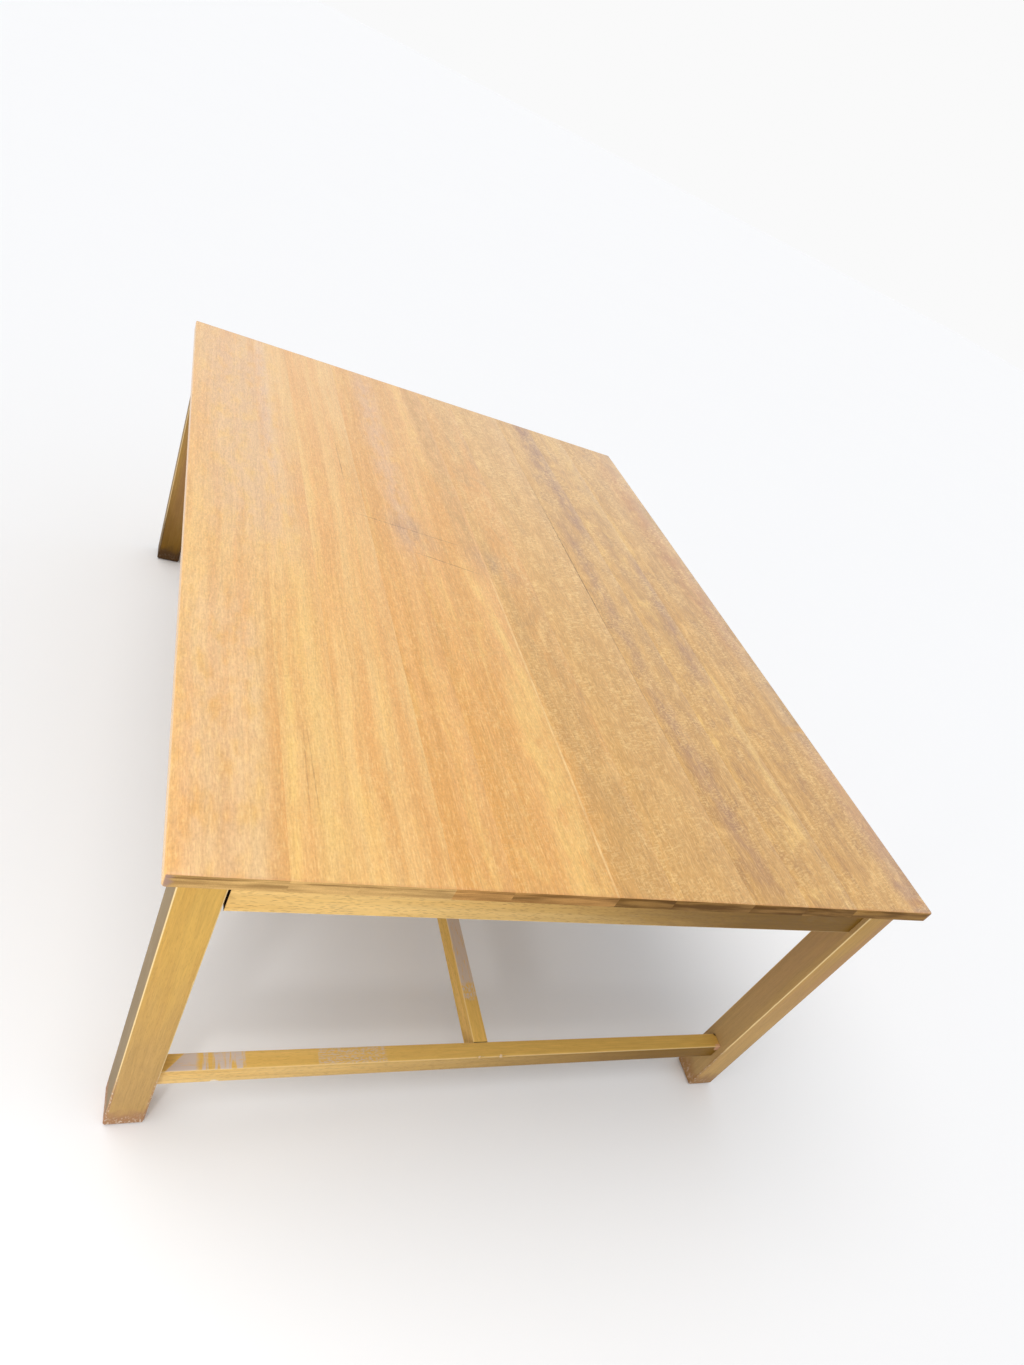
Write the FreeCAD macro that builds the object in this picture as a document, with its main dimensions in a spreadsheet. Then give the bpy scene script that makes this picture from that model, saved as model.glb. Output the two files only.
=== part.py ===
"""A dining table: a plank top on four square legs, with aprons and an H-shaped stretcher.

The table stands on the floor at z = 0, centred on the origin. X runs along its length, Y across it, Z up.
Right is the +X end, left the -X end, front the -Y side and back the +Y side.

The frame has four sides and four corners, counted in quarter turns about Z from the front side and from
the front left corner. A piece that repeats on them is drawn once, with its inward side towards its own +Y
(a side) or its own +X and +Y (a corner), and then turned into place.
"""
import FreeCAD
import Part
import Sketcher
import os
import re

# Driving sizes in millimetres
SIZES = {
    # the table as a whole
    "table_height": 750,
    "end_overhang": 30,
    "side_overhang": 24,
    # the plank top
    "top_length": 1900,
    "top_thickness": 25,
    "top_corner_radius": 6,
    "top_edge_radius": 2,
    "top_under_bevel": 1.5,
    "open_seam": 0.6,
    "board_01_width": 153,
    "board_02_width": 95,
    "board_03_width": 140,
    "board_04_width": 94,
    "board_05_width": 185,
    "board_06_width": 111,
    "board_07_width": 167,
    "board_08_width": 125,
    "board_09_width": 122,
    "board_10_width": 208,
    "tongue_thickness": 6,
    "tongue_reach": 11,
    "tongue_stop": 60,
    # legs
    "leg_side": 66,
    "leg_arris": 2,
    "leg_bevel": 16,
    "foot_bevel": 3,
    # aprons
    "apron_height": 102,
    "apron_thickness": 25,
    "apron_setback": 10,
    "apron_arris_radius": 1.5,
    "apron_open_shoulder": 6,
    "apron_tenon_thickness": 9,
    "apron_tenon_gap": 7,
    "apron_tenon_top_shoulder": 16,
    "apron_tenon_bottom_shoulder": 8,
    # stretchers
    "stretcher_width": 32,
    "stretcher_height": 44,
    "stretcher_top": 156,
    "stretcher_setback": 15,
    "stretcher_arris_radius": 2,
    "stretcher_tenon_thickness": 12,
    "stretcher_tenon_length": 34,
    "stretcher_tenon_shoulder": 7,
    "long_tenon_cover": 12,
    # room left beyond the end of a glued tongue, tenon or screw
    "glue_relief": 2,
    # cross bearer
    "bearer_thickness": 25,
    "bearer_height": 70,
    "bearer_housing": 10,
    # corner blocks and their bolts
    "block_thickness": 30,
    "block_gap": 8,
    "block_drop": 32,
    "block_rise": 10,
    "block_screw_inset": 15,
    "block_screw_grip": 9,
    "block_screw_reach": 14,
    "bolt_diameter": 8,
    "bolt_clearance": 1,
    "bolt_past_aprons": 4,
    "bolt_taper": 8,
    "bolt_spare": 6,
    "washer_diameter": 20,
    "washer_thickness": 2,
    "nut_across_flats": 13,
    "nut_height": 6.5,
    # buttons that hold the top down
    "groove_drop": 12,
    "groove_height": 7,
    "groove_depth": 9,
    "button_length": 38,
    "button_width": 32,
    "button_gap": 2,
    "button_bevel": 4,
    "button_tongue_length": 7,
    "button_tongue_thickness": 6,
    "button_screw_inset": 21,
    "button_leg_gap": 234,
    "button_bearer_gap": 240,
    # wood screws
    "screw_diameter": 4,
    "screw_head_diameter": 8,
    "screw_head_height": 3,
    "screw_clearance": 0.5,
    "screw_grip": 13,
    "screw_cover": 10,
}

# The boards from front to back, with what holds each one down
HOLDS = {
    "board_01": "front",
    "board_02": "ends",
    "board_03": "bearer",
    "board_04": "ends",
    "board_05": "bearer",
    "board_06": "seams",
    "board_07": "ends",
    "board_08": "bearer",
    "board_09": "ends",
    "board_10": "back",
}
BOARDS = list(HOLDS)
# The board whose back seam has opened
OPEN_SEAM_BOARD = "board_07"

SIDES = ("front", "right", "back", "left")
CORNERS = ("front_left", "front_right", "back_right", "back_left")
CORNER_SIGNS = ((-1, -1), (1, -1), (1, 1), (-1, 1))
FRONT, RIGHT, BACK, LEFT = range(len(SIDES))
UP = FreeCAD.Vector(0, 0, 1)
LEVEL = FreeCAD.Rotation(FreeCAD.Vector(0, 1, 0), 90)
# How close an edge's place and direction come to the ones asked for
SAME_PLACE = 0.01
SAME_DIRECTION = 0.999

# Formulas that several pieces share
LEG_HEIGHT = "(table_height - top_thickness)"
TOP_WIDTH = "(" + " + ".join(f"{board}_width" for board in BOARDS) + " + open_seam)"
SIDE_SPAN = "(top_length - 2 * end_overhang - 2 * leg_side)"
END_SPAN = f"({TOP_WIDTH} - 2 * side_overhang - 2 * leg_side)"
LEG_X = "(top_length / 2 - end_overhang - leg_side / 2)"
LEG_Y = f"({TOP_WIDTH} / 2 - side_overhang - leg_side / 2)"
APRON_FOOT = f"({LEG_HEIGHT} - apron_height)"
APRON_REACH = "(apron_setback + apron_thickness)"
INNER_X = f"(top_length / 2 - end_overhang - {APRON_REACH})"
INNER_Y = f"({TOP_WIDTH} / 2 - side_overhang - {APRON_REACH})"
APRON_TENON = (f"(leg_side - apron_setback - apron_thickness / 2"
               f" - apron_tenon_thickness / 2 - apron_tenon_gap)")
APRON_TENON_HEIGHT = "(apron_height - apron_tenon_top_shoulder - apron_tenon_bottom_shoulder)"
STRETCHER_TENON_HEIGHT = "(stretcher_height - 2 * stretcher_tenon_shoulder)"
STRETCHER_FOOT = "(stretcher_top - stretcher_height)"
LONG_TENON = "(stretcher_width - long_tenon_cover)"
LEG_INSIDE = f"(leg_side - {APRON_REACH})"
LEG_FLAT = f"(2 * {LEG_INSIDE} - leg_bevel)"
BOLT_EMBED = f"({LEG_FLAT} / sqrt(2) + bolt_past_aprons)"
BLOCK_NEAR = f"({LEG_FLAT} + block_gap * sqrt(2))"
BLOCK_FAR = f"({BLOCK_NEAR} + block_thickness * sqrt(2))"
BLOCK_HEIGHT = "(apron_height - block_drop - block_rise)"
BLOCK_FOOT = f"({APRON_FOOT} + block_rise)"
BLOCK_SCREW = f"({BLOCK_FAR} - block_screw_inset)"
SCREW_REACH = "(top_thickness - screw_cover)"
BUTTON_SCREW = "(button_gap + button_screw_inset)"

doc = FreeCAD.newDocument("dining_table")
sheet = doc.addObject("Spreadsheet::Sheet", "sizes")
nodes = []


def fill_sheet():
    """Write every driving size into the sheet, with its name beside it."""
    for row, (alias, value) in enumerate(SIZES.items(), start=1):
        sheet.set(f"A{row}", alias)
        sheet.set(f"B{row}", str(value))
        sheet.setAlias(f"B{row}", alias)
    doc.recompute()


def bind(formula):
    """The formula with each driving size read from the sheet."""
    return re.sub(r"[a-z]\w*", lambda word: f"sizes.{word[0]}" if word[0] in SIZES else word[0], formula)


def quarter(turns, x, y):
    """The formulas of a point after quarter turns about Z."""
    return ((x, y), (f"-({y})", x), (f"-({x})", f"-({y})"), (y, f"-({x})"))[turns % len(SIDES)]


def from_corner(corner, along_x, along_y):
    """The formulas of a point given from where the inner faces of two aprons meet."""
    sign_x, sign_y = CORNER_SIGNS[corner]
    x, y = quarter(corner, along_x, along_y)
    return f"{sign_x} * {INNER_X} + {x}", f"{sign_y} * {INNER_Y} + {y}"


def from_side(side, along, inward):
    """The formulas of a point given along an apron and inward from the middle of its inner face."""
    reach = INNER_Y if side % 2 == 0 else INNER_X
    return quarter(side, along, f"{inward} - {reach}")


def upright(turns):
    """A turn about Z by quarter turns."""
    return FreeCAD.Rotation(UP, 90 * turns)


def place(piece, rotation, x, y, z):
    """Turn a piece and bind its place to the formulas."""
    piece.Placement = FreeCAD.Placement(FreeCAD.Vector(), rotation)
    for axis, formula in zip("xyz", (x, y, z)):
        piece.setExpression(f"Placement.Base.{axis}", bind(formula))


def new_body(label):
    """An empty body."""
    body = doc.addObject("PartDesign::Body", label)
    body.Label = label
    return body


def node(piece):
    """Keep a piece as one of the table's nodes."""
    nodes.append(piece)
    return piece


def sketch_on(body, plane, offset=("0", "0", "0"), turn=0):
    """An empty sketch on one of the body's origin planes, moved by the offset and turned about its own Y."""
    sketch = body.newObject("Sketcher::SketchObject", f"{body.Name}_sketch")
    planes = {feature.Role: feature for feature in body.Origin.OriginFeatures}
    sketch.AttachmentSupport = (planes[plane], [""])
    sketch.MapMode = "FlatFace"
    rotation = FreeCAD.Rotation(FreeCAD.Vector(0, 1, 0), turn)
    sketch.AttachmentOffset = FreeCAD.Placement(FreeCAD.Vector(), rotation)
    for axis, formula in zip("xyz", offset):
        sketch.setExpression(f"AttachmentOffset.Base.{axis}", bind(formula))
    return sketch


def hold_point(sketch, item, vertex, x, y):
    """Dimension one point of a sketch from its origin."""
    for kind, formula in (("DistanceX", x), ("DistanceY", y)):
        index = sketch.addConstraint(Sketcher.Constraint(kind, -1, 1, item, vertex, 1.0))
        sketch.setExpression(f"Constraints[{index}]", bind(formula))


def draw_polygon(sketch, points):
    """Draw a closed outline through points given by formulas."""
    count = len(points)
    first = sketch.GeometryCount
    starts = [FreeCAD.Vector(number, number * number, 0) for number in range(count)]
    for start, end in zip(starts, starts[1:] + starts[:1]):
        sketch.addGeometry(Part.LineSegment(start, end), False)
    for number, (x, y) in enumerate(points):
        following = first + (number + 1) % count
        sketch.addConstraint(Sketcher.Constraint("Coincident", first + number, 2, following, 1))
        hold_point(sketch, first + number, 1, x, y)
    return sketch


def draw_rectangle(sketch, length, width, x="0", y="0"):
    """Draw a rectangle around a point."""
    half_length, half_width = f"{length} / 2", f"{width} / 2"
    signs = (("-", "-"), ("+", "-"), ("+", "+"), ("-", "+"))
    return draw_polygon(sketch, [(f"{x} {sx} {half_length}", f"{y} {sy} {half_width}") for sx, sy in signs])


def eight_sides(half, flat, x="0", y="0"):
    """The corners of a square around a point with its own corners cut off, leaving flats of twice a length."""
    corners = [(half, f"-{flat}"), (half, flat), (flat, half), (f"-{flat}", half),
               (f"-{half}", flat), (f"-{half}", f"-{flat}"), (f"-{flat}", f"-{half}"), (flat, f"-{half}")]
    return [(f"{x} + ({across})", f"{y} + ({along})") for across, along in corners]


def draw_small_rounds(sketch, diameter, centres):
    """Draw equal eight-sided rounds, for the many small screws and their holes."""
    half = f"({diameter}) / 2"
    for x, y in centres:
        draw_polygon(sketch, eight_sides(half, f"{half} * (sqrt(2) - 1)", x, y))
    return sketch


def draw_circles(sketch, diameter, centres):
    """Draw equal circles around points."""
    for x, y in centres:
        circle = Part.Circle(FreeCAD.Vector(), UP, 1)
        item = sketch.addGeometry(circle, False)
        hold_point(sketch, item, 3, x, y)
        index = sketch.addConstraint(Sketcher.Constraint("Diameter", item, 2 * circle.Radius))
        sketch.setExpression(f"Constraints[{index}]", bind(diameter))
    return sketch


def pad(body, sketch, length):
    """Raise a sketch into solid wood or metal."""
    feature = body.newObject("PartDesign::Pad", f"{body.Name}_pad")
    feature.Profile = sketch
    feature.setExpression("Length", bind(length))
    return feature


def pocket(body, sketch, depth=None, forward=False):
    """Cut a sketch into the body, against its normal or forward along it, right through with no depth."""
    doc.recompute()
    before = body.Shape.Volume
    feature = body.newObject("PartDesign::Pocket", f"{body.Name}_pocket")
    feature.Profile = sketch
    feature.Reversed = forward
    if depth is None:
        feature.Type = "ThroughAll"
    else:
        feature.setExpression("Length", bind(depth))
    doc.recompute()
    if body.Shape.Volume >= before:
        raise RuntimeError(f"{feature.Label} cuts nothing")
    return feature


def loft(body, sketch, far_sketch):
    """Join two outlines with straight sides."""
    feature = body.newObject("PartDesign::AdditiveLoft", f"{body.Name}_loft")
    feature.Profile = sketch
    feature.Sections = [far_sketch]
    feature.Ruled = True
    return feature


def revolve(body, sketch):
    """Turn a sketch about its own vertical axis."""
    feature = body.newObject("PartDesign::Revolution", f"{body.Name}_turned")
    feature.Profile = sketch
    feature.ReferenceAxis = (sketch, ["V_Axis"])
    feature.Angle = 360
    return feature


def ease(body, kind, measure, size, chosen):
    """Round or bevel the edges of a body that a test picks."""
    doc.recompute()
    base = body.Tip
    names = [f"Edge{number}" for number, edge in enumerate(base.Shape.Edges, start=1) if chosen(edge)]
    feature = body.newObject(f"PartDesign::{kind}", f"{body.Name}_eased")
    feature.Base = (base, names)
    feature.setExpression(measure, bind(size))
    return feature


def runs_along(edge, axis):
    """Whether an edge is a straight line along an axis."""
    straight = edge.Curve.TypeId == "Part::GeomLine"
    return straight and abs(getattr(edge.Curve.Direction, axis)) > SAME_DIRECTION


def lies_at(edge, axis, level):
    """Whether the middle of an edge lies at a level on an axis."""
    return abs(getattr(edge.CenterOfMass, axis) - level) < SAME_PLACE


def group(label, template, spots):
    """Copies of one piece as a single node; a spot is a rotation and the formulas of its place."""
    links = []
    for rotation, formulas in spots:
        link = doc.addObject("App::Link", f"{label}_copy")
        link.LinkedObject = template
        place(link, rotation, *formulas)
        links.append(link)
    compound = doc.addObject("Part::Compound", label)
    compound.Label = label
    compound.Links = links
    return node(compound)


def board_start(board):
    """The formula of the front edge of a board, in Y."""
    place_in_top = BOARDS.index(board)
    before = [f"{earlier}_width" for earlier in BOARDS[:place_in_top]]
    if place_in_top > BOARDS.index(OPEN_SEAM_BOARD):
        before.append("open_seam")
    return " + ".join([f"-{TOP_WIDTH} / 2"] + before)


def board_middle(board):
    """The formula of the middle line of a board, in Y."""
    return f"({board_start(board)} + {board}_width / 2)"


def boards_held_by(holder):
    """The boards that one kind of fixing holds down."""
    return [board for board in BOARDS if HOLDS[board] == holder]


def side_button_places():
    """How far along a side apron its buttons sit."""
    near = "(bearer_thickness / 2 + button_bearer_gap)"
    far = f"({SIDE_SPAN} / 2 - button_leg_gap)"
    return [f"-{far}", f"-{near}", near, far]


def button_spots():
    """Every button's side, and the place on the apron's inner face where it sits."""
    spots = [(side, from_side(side, along, "0")) for side in (FRONT, BACK) for along in side_button_places()]
    for side in (RIGHT, LEFT):
        x, _ = from_side(side, "0", "0")
        spots.extend((side, (x, board_middle(board))) for board in boards_held_by("ends"))
    return spots


def screw_places(board):
    """The places, in X and Y, of the screws that end in a board."""
    holder = HOLDS[board]
    if holder in SIDES:
        return [from_side(SIDES.index(holder), along, BUTTON_SCREW) for along in side_button_places()]
    middle = board_middle(board)
    if holder == "ends":
        return [(from_side(side, "0", BUTTON_SCREW)[0], middle) for side in (RIGHT, LEFT)]
    return [("0", middle)] if holder == "bearer" else []


def make_board(board):
    """One board of the top, grooved for its tongues and drilled for its screws."""
    width = f"{board}_width"
    body = new_body(f"top_{board}")
    pad(body, draw_rectangle(sketch_on(body, "XY_Plane"), "top_length", width), "top_thickness")
    outer = {BOARDS[0]: -1, BOARDS[-1]: 1}.get(board, 0)
    doc.recompute()
    box = body.Shape.BoundBox
    outer_edge = outer * box.YMax

    def on_rim(edge, level):
        """Whether an edge lies on the outside of the whole top, at a level."""
        at_end = lies_at(edge, "x", box.XMax) or lies_at(edge, "x", box.XMin)
        at_side = outer and runs_along(edge, "x") and lies_at(edge, "y", outer_edge)
        return lies_at(edge, "z", level) and (at_end or at_side)

    if outer:
        ease(body, "Fillet", "Radius", "top_corner_radius",
             lambda edge: runs_along(edge, "z") and lies_at(edge, "y", outer_edge))
    ease(body, "Fillet", "Radius", "top_edge_radius", lambda edge: on_rim(edge, box.ZMax))
    ease(body, "Chamfer", "Size", "top_under_bevel", lambda edge: on_rim(edge, box.ZMin))
    groove = "(tongue_reach + glue_relief)"
    groove_foot = ("0", "0", "(top_thickness - tongue_thickness) / 2")
    for sign in (-1, 1):
        if sign == outer:
            continue
        sketch = sketch_on(body, "XY_Plane", groove_foot)
        draw_rectangle(sketch, "(top_length - 2 * tongue_stop)", groove, y=f"{sign} * ({width} - {groove}) / 2")
        pocket(body, sketch, "tongue_thickness", forward=True)
    places = [(x, f"{y} - {board_middle(board)}") for x, y in screw_places(board)]
    if places:
        sketch = draw_small_rounds(sketch_on(body, "XY_Plane"), "screw_diameter", places)
        pocket(body, sketch, f"{SCREW_REACH} + glue_relief", forward=True)
    place(body, upright(0), "0", board_middle(board), LEG_HEIGHT)
    return node(body)


def make_tongues():
    """The loose tongues in the seams between boards."""
    body = new_body("tongue")
    sketch = draw_rectangle(sketch_on(body, "XY_Plane"), "(top_length - 2 * tongue_stop)", "2 * tongue_reach")
    pad(body, sketch, "tongue_thickness")
    level = f"{LEG_HEIGHT} + (top_thickness - tongue_thickness) / 2"
    spots = []
    for board in BOARDS[:-1]:
        half_gap = "open_seam / 2" if board == OPEN_SEAM_BOARD else "0"
        seam = f"{board_middle(board)} + {board}_width / 2 + {half_gap}"
        spots.append((upright(0), ("0", seam, level)))
    return group("board_tongues", body, spots)


def make_leg(corner):
    """A square leg, mortised for two aprons and a stretcher, bevelled and bored for its hanger bolt."""
    body = new_body(f"leg_{CORNERS[corner]}")
    section = eight_sides("(leg_side / 2)", "(leg_side / 2 - leg_arris)")
    foot = eight_sides("(leg_side / 2 - foot_bevel)", "(leg_side / 2 - foot_bevel - leg_arris)")
    above_foot = ("0", "0", "foot_bevel")
    pad(body, draw_polygon(sketch_on(body, "XY_Plane", above_foot), section), f"{LEG_HEIGHT} - foot_bevel")
    loft(body, draw_polygon(sketch_on(body, "XY_Plane", above_foot), section),
         draw_polygon(sketch_on(body, "XY_Plane"), foot))

    inner, cut = "leg_side / 2", "leg_side / 2 - leg_bevel"
    sketch = sketch_on(body, "XY_Plane", ("0", "0", APRON_FOOT))
    draw_polygon(sketch, [(inner, cut), (inner, inner), (cut, inner)])
    pocket(body, sketch, forward=True)

    deep = f"({APRON_TENON} + glue_relief)"
    across = "-(leg_side / 2 - apron_setback - apron_thickness / 2)"
    mortises = [("apron_tenon_thickness", deep, across, f"(leg_side - {deep}) / 2"),
                (deep, "apron_tenon_thickness", f"(leg_side - {deep}) / 2", across)]
    for length, width, x, y in mortises:
        sketch = sketch_on(body, "XY_Plane", ("0", "0", f"{APRON_FOOT} + apron_tenon_bottom_shoulder"))
        pocket(body, draw_rectangle(sketch, length, width, x, y), APRON_TENON_HEIGHT, forward=True)

    deep = "(stretcher_tenon_length + glue_relief)"
    across = "-(leg_side / 2 - stretcher_setback - stretcher_width / 2)"
    mortise = ("stretcher_tenon_thickness", deep, across, f"(leg_side - {deep}) / 2")
    if corner % 2:
        mortise = (deep, "stretcher_tenon_thickness", f"(leg_side - {deep}) / 2", across)
    sketch = sketch_on(body, "XY_Plane", ("0", "0", f"{STRETCHER_FOOT} + stretcher_tenon_shoulder"))
    pocket(body, draw_rectangle(sketch, *mortise), STRETCHER_TENON_HEIGHT, forward=True)

    flat = "(leg_side - leg_bevel) / 2"
    sketch = sketch_on(body, "XZ_Plane", (flat, f"{BLOCK_FOOT} + {BLOCK_HEIGHT} / 2", f"-({flat})"), turn=135)
    pocket(body, draw_circles(sketch, "bolt_diameter", [("0", "0")]), f"{BOLT_EMBED} + glue_relief")

    sign_x, sign_y = CORNER_SIGNS[corner]
    place(body, upright(corner), f"{sign_x} * {LEG_X}", f"{sign_y} * {LEG_Y}", "0")
    return node(body)


def make_apron(side):
    """An apron between two legs, with its tenons, button groove and screw holes."""
    along_table = side % 2 == 0
    span = SIDE_SPAN if along_table else END_SPAN
    open_shoulder = "apron_open_shoulder" if side == RIGHT else "0"
    body_span = f"({span} - {open_shoulder})"
    shift = f"{open_shoulder} / 2"
    body = new_body(f"{'side' if along_table else 'end'}_apron_{SIDES[side]}")
    sketch = draw_rectangle(sketch_on(body, "XY_Plane"), body_span, "apron_thickness", x=shift)
    pad(body, sketch, "apron_height")
    ease(body, "Fillet", "Radius", "apron_arris_radius",
         lambda edge: runs_along(edge, "x") and lies_at(edge, "z", 0))

    sketch = sketch_on(body, "XY_Plane", ("0", "0", "apron_tenon_bottom_shoulder"))
    pad(body, draw_rectangle(sketch, f"({span} + 2 * {APRON_TENON})", "apron_tenon_thickness"), APRON_TENON_HEIGHT)

    sketch = sketch_on(body, "XY_Plane", ("0", "0", "apron_height - groove_drop - groove_height"))
    draw_rectangle(sketch, body_span, "groove_depth", x=shift, y="(apron_thickness - groove_depth) / 2")
    pocket(body, sketch, "groove_height", forward=True)

    level = f"block_rise + {BLOCK_HEIGHT} / 2"
    along = f"({span} / 2 + {LEG_INSIDE} - {BLOCK_SCREW})"
    sketch = sketch_on(body, "XZ_Plane", ("0", "0", "-apron_thickness / 2"))
    draw_small_rounds(sketch, "screw_diameter", [(f"-{along}", level), (along, level)])
    pocket(body, sketch, "block_screw_reach + glue_relief", forward=True)

    if along_table:
        sketch = sketch_on(body, "XY_Plane", ("0", "0", "apron_height - bearer_height"))
        draw_rectangle(sketch, "bearer_thickness", "bearer_housing", y="(apron_thickness - bearer_housing) / 2")
        pocket(body, sketch, forward=True)
    place(body, upright(side), *from_side(side, "0", "-apron_thickness / 2"), APRON_FOOT)
    return node(body)


def draw_stretcher(body, span, tenon):
    """A rounded bar along X with a tenon at each end."""
    pad(body, draw_rectangle(sketch_on(body, "XY_Plane"), span, "stretcher_width"), "stretcher_height")
    ease(body, "Fillet", "Radius", "stretcher_arris_radius", lambda edge: runs_along(edge, "x"))
    sketch = sketch_on(body, "XY_Plane", ("0", "0", "stretcher_tenon_shoulder"))
    draw_rectangle(sketch, f"({span} + 2 * {tenon})", "stretcher_tenon_thickness")
    pad(body, sketch, STRETCHER_TENON_HEIGHT)


def make_end_stretcher(side):
    """A low stretcher between the two legs of one end, mortised for the long stretcher."""
    body = new_body(f"end_stretcher_{SIDES[side]}")
    draw_stretcher(body, END_SPAN, "stretcher_tenon_length")
    deep = f"({LONG_TENON} + glue_relief)"
    sketch = sketch_on(body, "XY_Plane", ("0", "0", "stretcher_tenon_shoulder"))
    draw_rectangle(sketch, "stretcher_tenon_thickness", deep, y=f"(stretcher_width - {deep}) / 2")
    pocket(body, sketch, STRETCHER_TENON_HEIGHT, forward=True)
    inward = f"(stretcher_setback + stretcher_width / 2 - {APRON_REACH})"
    place(body, upright(side), *from_side(side, "0", inward), STRETCHER_FOOT)
    return node(body)


def make_long_stretcher():
    """The stretcher on the centre line, tenoned into the two end stretchers."""
    body = new_body("long_stretcher")
    span = "(top_length - 2 * end_overhang - 2 * stretcher_setback - 2 * stretcher_width)"
    draw_stretcher(body, span, LONG_TENON)
    place(body, upright(0), "0", "0", STRETCHER_FOOT)
    return node(body)


def make_bearer():
    """The cross bearer, housed in the side aprons and counterbored for its screws."""
    body = new_body("cross_bearer")
    sketch = draw_rectangle(sketch_on(body, "XY_Plane"), f"2 * ({INNER_Y} + bearer_housing)", "bearer_thickness")
    pad(body, sketch, "bearer_height")
    centres = [(board_middle(board), "0") for board in boards_held_by("bearer")]
    sketch = draw_small_rounds(sketch_on(body, "XY_Plane"), "screw_head_diameter + screw_clearance", centres)
    pocket(body, sketch, "bearer_height - screw_grip", forward=True)
    sketch = draw_small_rounds(sketch_on(body, "XY_Plane"), "screw_diameter + screw_clearance", centres)
    pocket(body, sketch, forward=True)
    place(body, upright(1), "0", "0", f"{LEG_HEIGHT} - bearer_height")
    return node(body)


def make_corner_block(corner):
    """A block set across a corner, bored for the hanger bolt and drilled for a screw at each end."""
    body = new_body(f"corner_block_{CORNERS[corner]}")
    outline = [(BLOCK_NEAR, "0"), (BLOCK_FAR, "0"), ("0", BLOCK_FAR), ("0", BLOCK_NEAR)]
    pad(body, draw_polygon(sketch_on(body, "XY_Plane"), outline), BLOCK_HEIGHT)
    level = f"{BLOCK_HEIGHT} / 2"
    far = f"{BLOCK_FAR} / 2"
    sketch = sketch_on(body, "XZ_Plane", (far, level, f"-{far}"), turn=135)
    pocket(body, draw_circles(sketch, "bolt_diameter + bolt_clearance", [("0", "0")]))
    for plane, seat, forward in (("XZ_Plane", "-block_screw_grip", False), ("YZ_Plane", "block_screw_grip", True)):
        sketch = sketch_on(body, plane)
        draw_small_rounds(sketch, "screw_diameter + screw_clearance", [(BLOCK_SCREW, level)])
        pocket(body, sketch, forward=forward)
        sketch = sketch_on(body, plane, ("0", "0", seat))
        draw_small_rounds(sketch, "screw_head_diameter + screw_clearance", [(BLOCK_SCREW, level)])
        pocket(body, sketch, forward=forward)
    place(body, upright(corner), *from_corner(corner, "0", "0"), BLOCK_FOOT)
    return node(body)


def draw_screw(label, grip, reach):
    """A wood screw along +Z, with the underside of its head at z = 0."""
    body = new_body(label)
    middle = [("0", "0")]
    head_top = sketch_on(body, "XY_Plane", ("0", "0", "-screw_head_height"))
    pad(body, draw_small_rounds(head_top, "screw_head_diameter", middle), "screw_head_height")
    shank = sketch_on(body, "XY_Plane")
    pad(body, draw_small_rounds(shank, "screw_diameter", middle), f"{grip} + {reach}")
    return body


def make_block_screws():
    """The screws that hold the corner blocks to the aprons, one at each end of a block."""
    template = draw_screw("block_screw", "block_screw_grip", "block_screw_reach")
    level = f"{BLOCK_FOOT} + {BLOCK_HEIGHT} / 2"
    spots = []
    for corner in range(len(CORNERS)):
        ends = ((BLOCK_SCREW, "block_screw_grip", corner + LEFT), ("block_screw_grip", BLOCK_SCREW, corner + BACK))
        for along_x, along_y, turns in ends:
            spots.append((upright(turns) * LEVEL, (*from_corner(corner, along_x, along_y), level)))
    return group("corner_block_screws", template, spots)


def on_diagonal(distance):
    """Each corner's level turn and place at a distance along its diagonal, at the bolt's height."""
    level = f"{BLOCK_FOOT} + {BLOCK_HEIGHT} / 2"
    leg = f"({distance}) / sqrt(2)"
    half_turn = FreeCAD.Rotation(UP, 45)
    return [(upright(corner) * half_turn * LEVEL, (*from_corner(corner, leg, leg), level))
            for corner in range(len(CORNERS))]


def make_hanger_bolts():
    """The bolts that run from the legs' bevels through the corner blocks."""
    body = new_body("hanger_bolt")
    length = f"({BOLT_EMBED} + block_gap + block_thickness + washer_thickness + nut_height + bolt_spare)"
    radius = "bolt_diameter / 2"
    outline = [("0", "0"), (radius, "bolt_taper"), (radius, length), ("0", length)]
    revolve(body, draw_polygon(sketch_on(body, "XZ_Plane"), outline))
    return group("hanger_bolts", body, on_diagonal("-bolt_past_aprons"))


def make_washers():
    """The washers under the nuts."""
    body = new_body("bolt_washer")
    sketch = draw_circles(sketch_on(body, "XY_Plane"), "washer_diameter", [("0", "0")])
    draw_circles(sketch, "bolt_diameter + bolt_clearance", [("0", "0")])
    pad(body, sketch, "washer_thickness")
    return group("bolt_washers", body, on_diagonal(f"{BLOCK_FAR} / sqrt(2)"))


def make_nuts():
    """The hexagon nuts on the bolts."""
    body = new_body("bolt_nut")
    point, half = "nut_across_flats / sqrt(3)", "nut_across_flats / 2"
    near = "nut_across_flats / sqrt(12)"
    outline = [(point, "0"), (near, half), (f"-{near}", half),
               (f"-{point}", "0"), (f"-{near}", f"-{half}"), (near, f"-{half}")]
    sketch = draw_polygon(sketch_on(body, "XY_Plane"), outline)
    pad(body, draw_circles(sketch, "bolt_diameter", [("0", "0")]), "nut_height")
    return group("bolt_nuts", body, on_diagonal(f"{BLOCK_FAR} / sqrt(2) + washer_thickness"))


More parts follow.
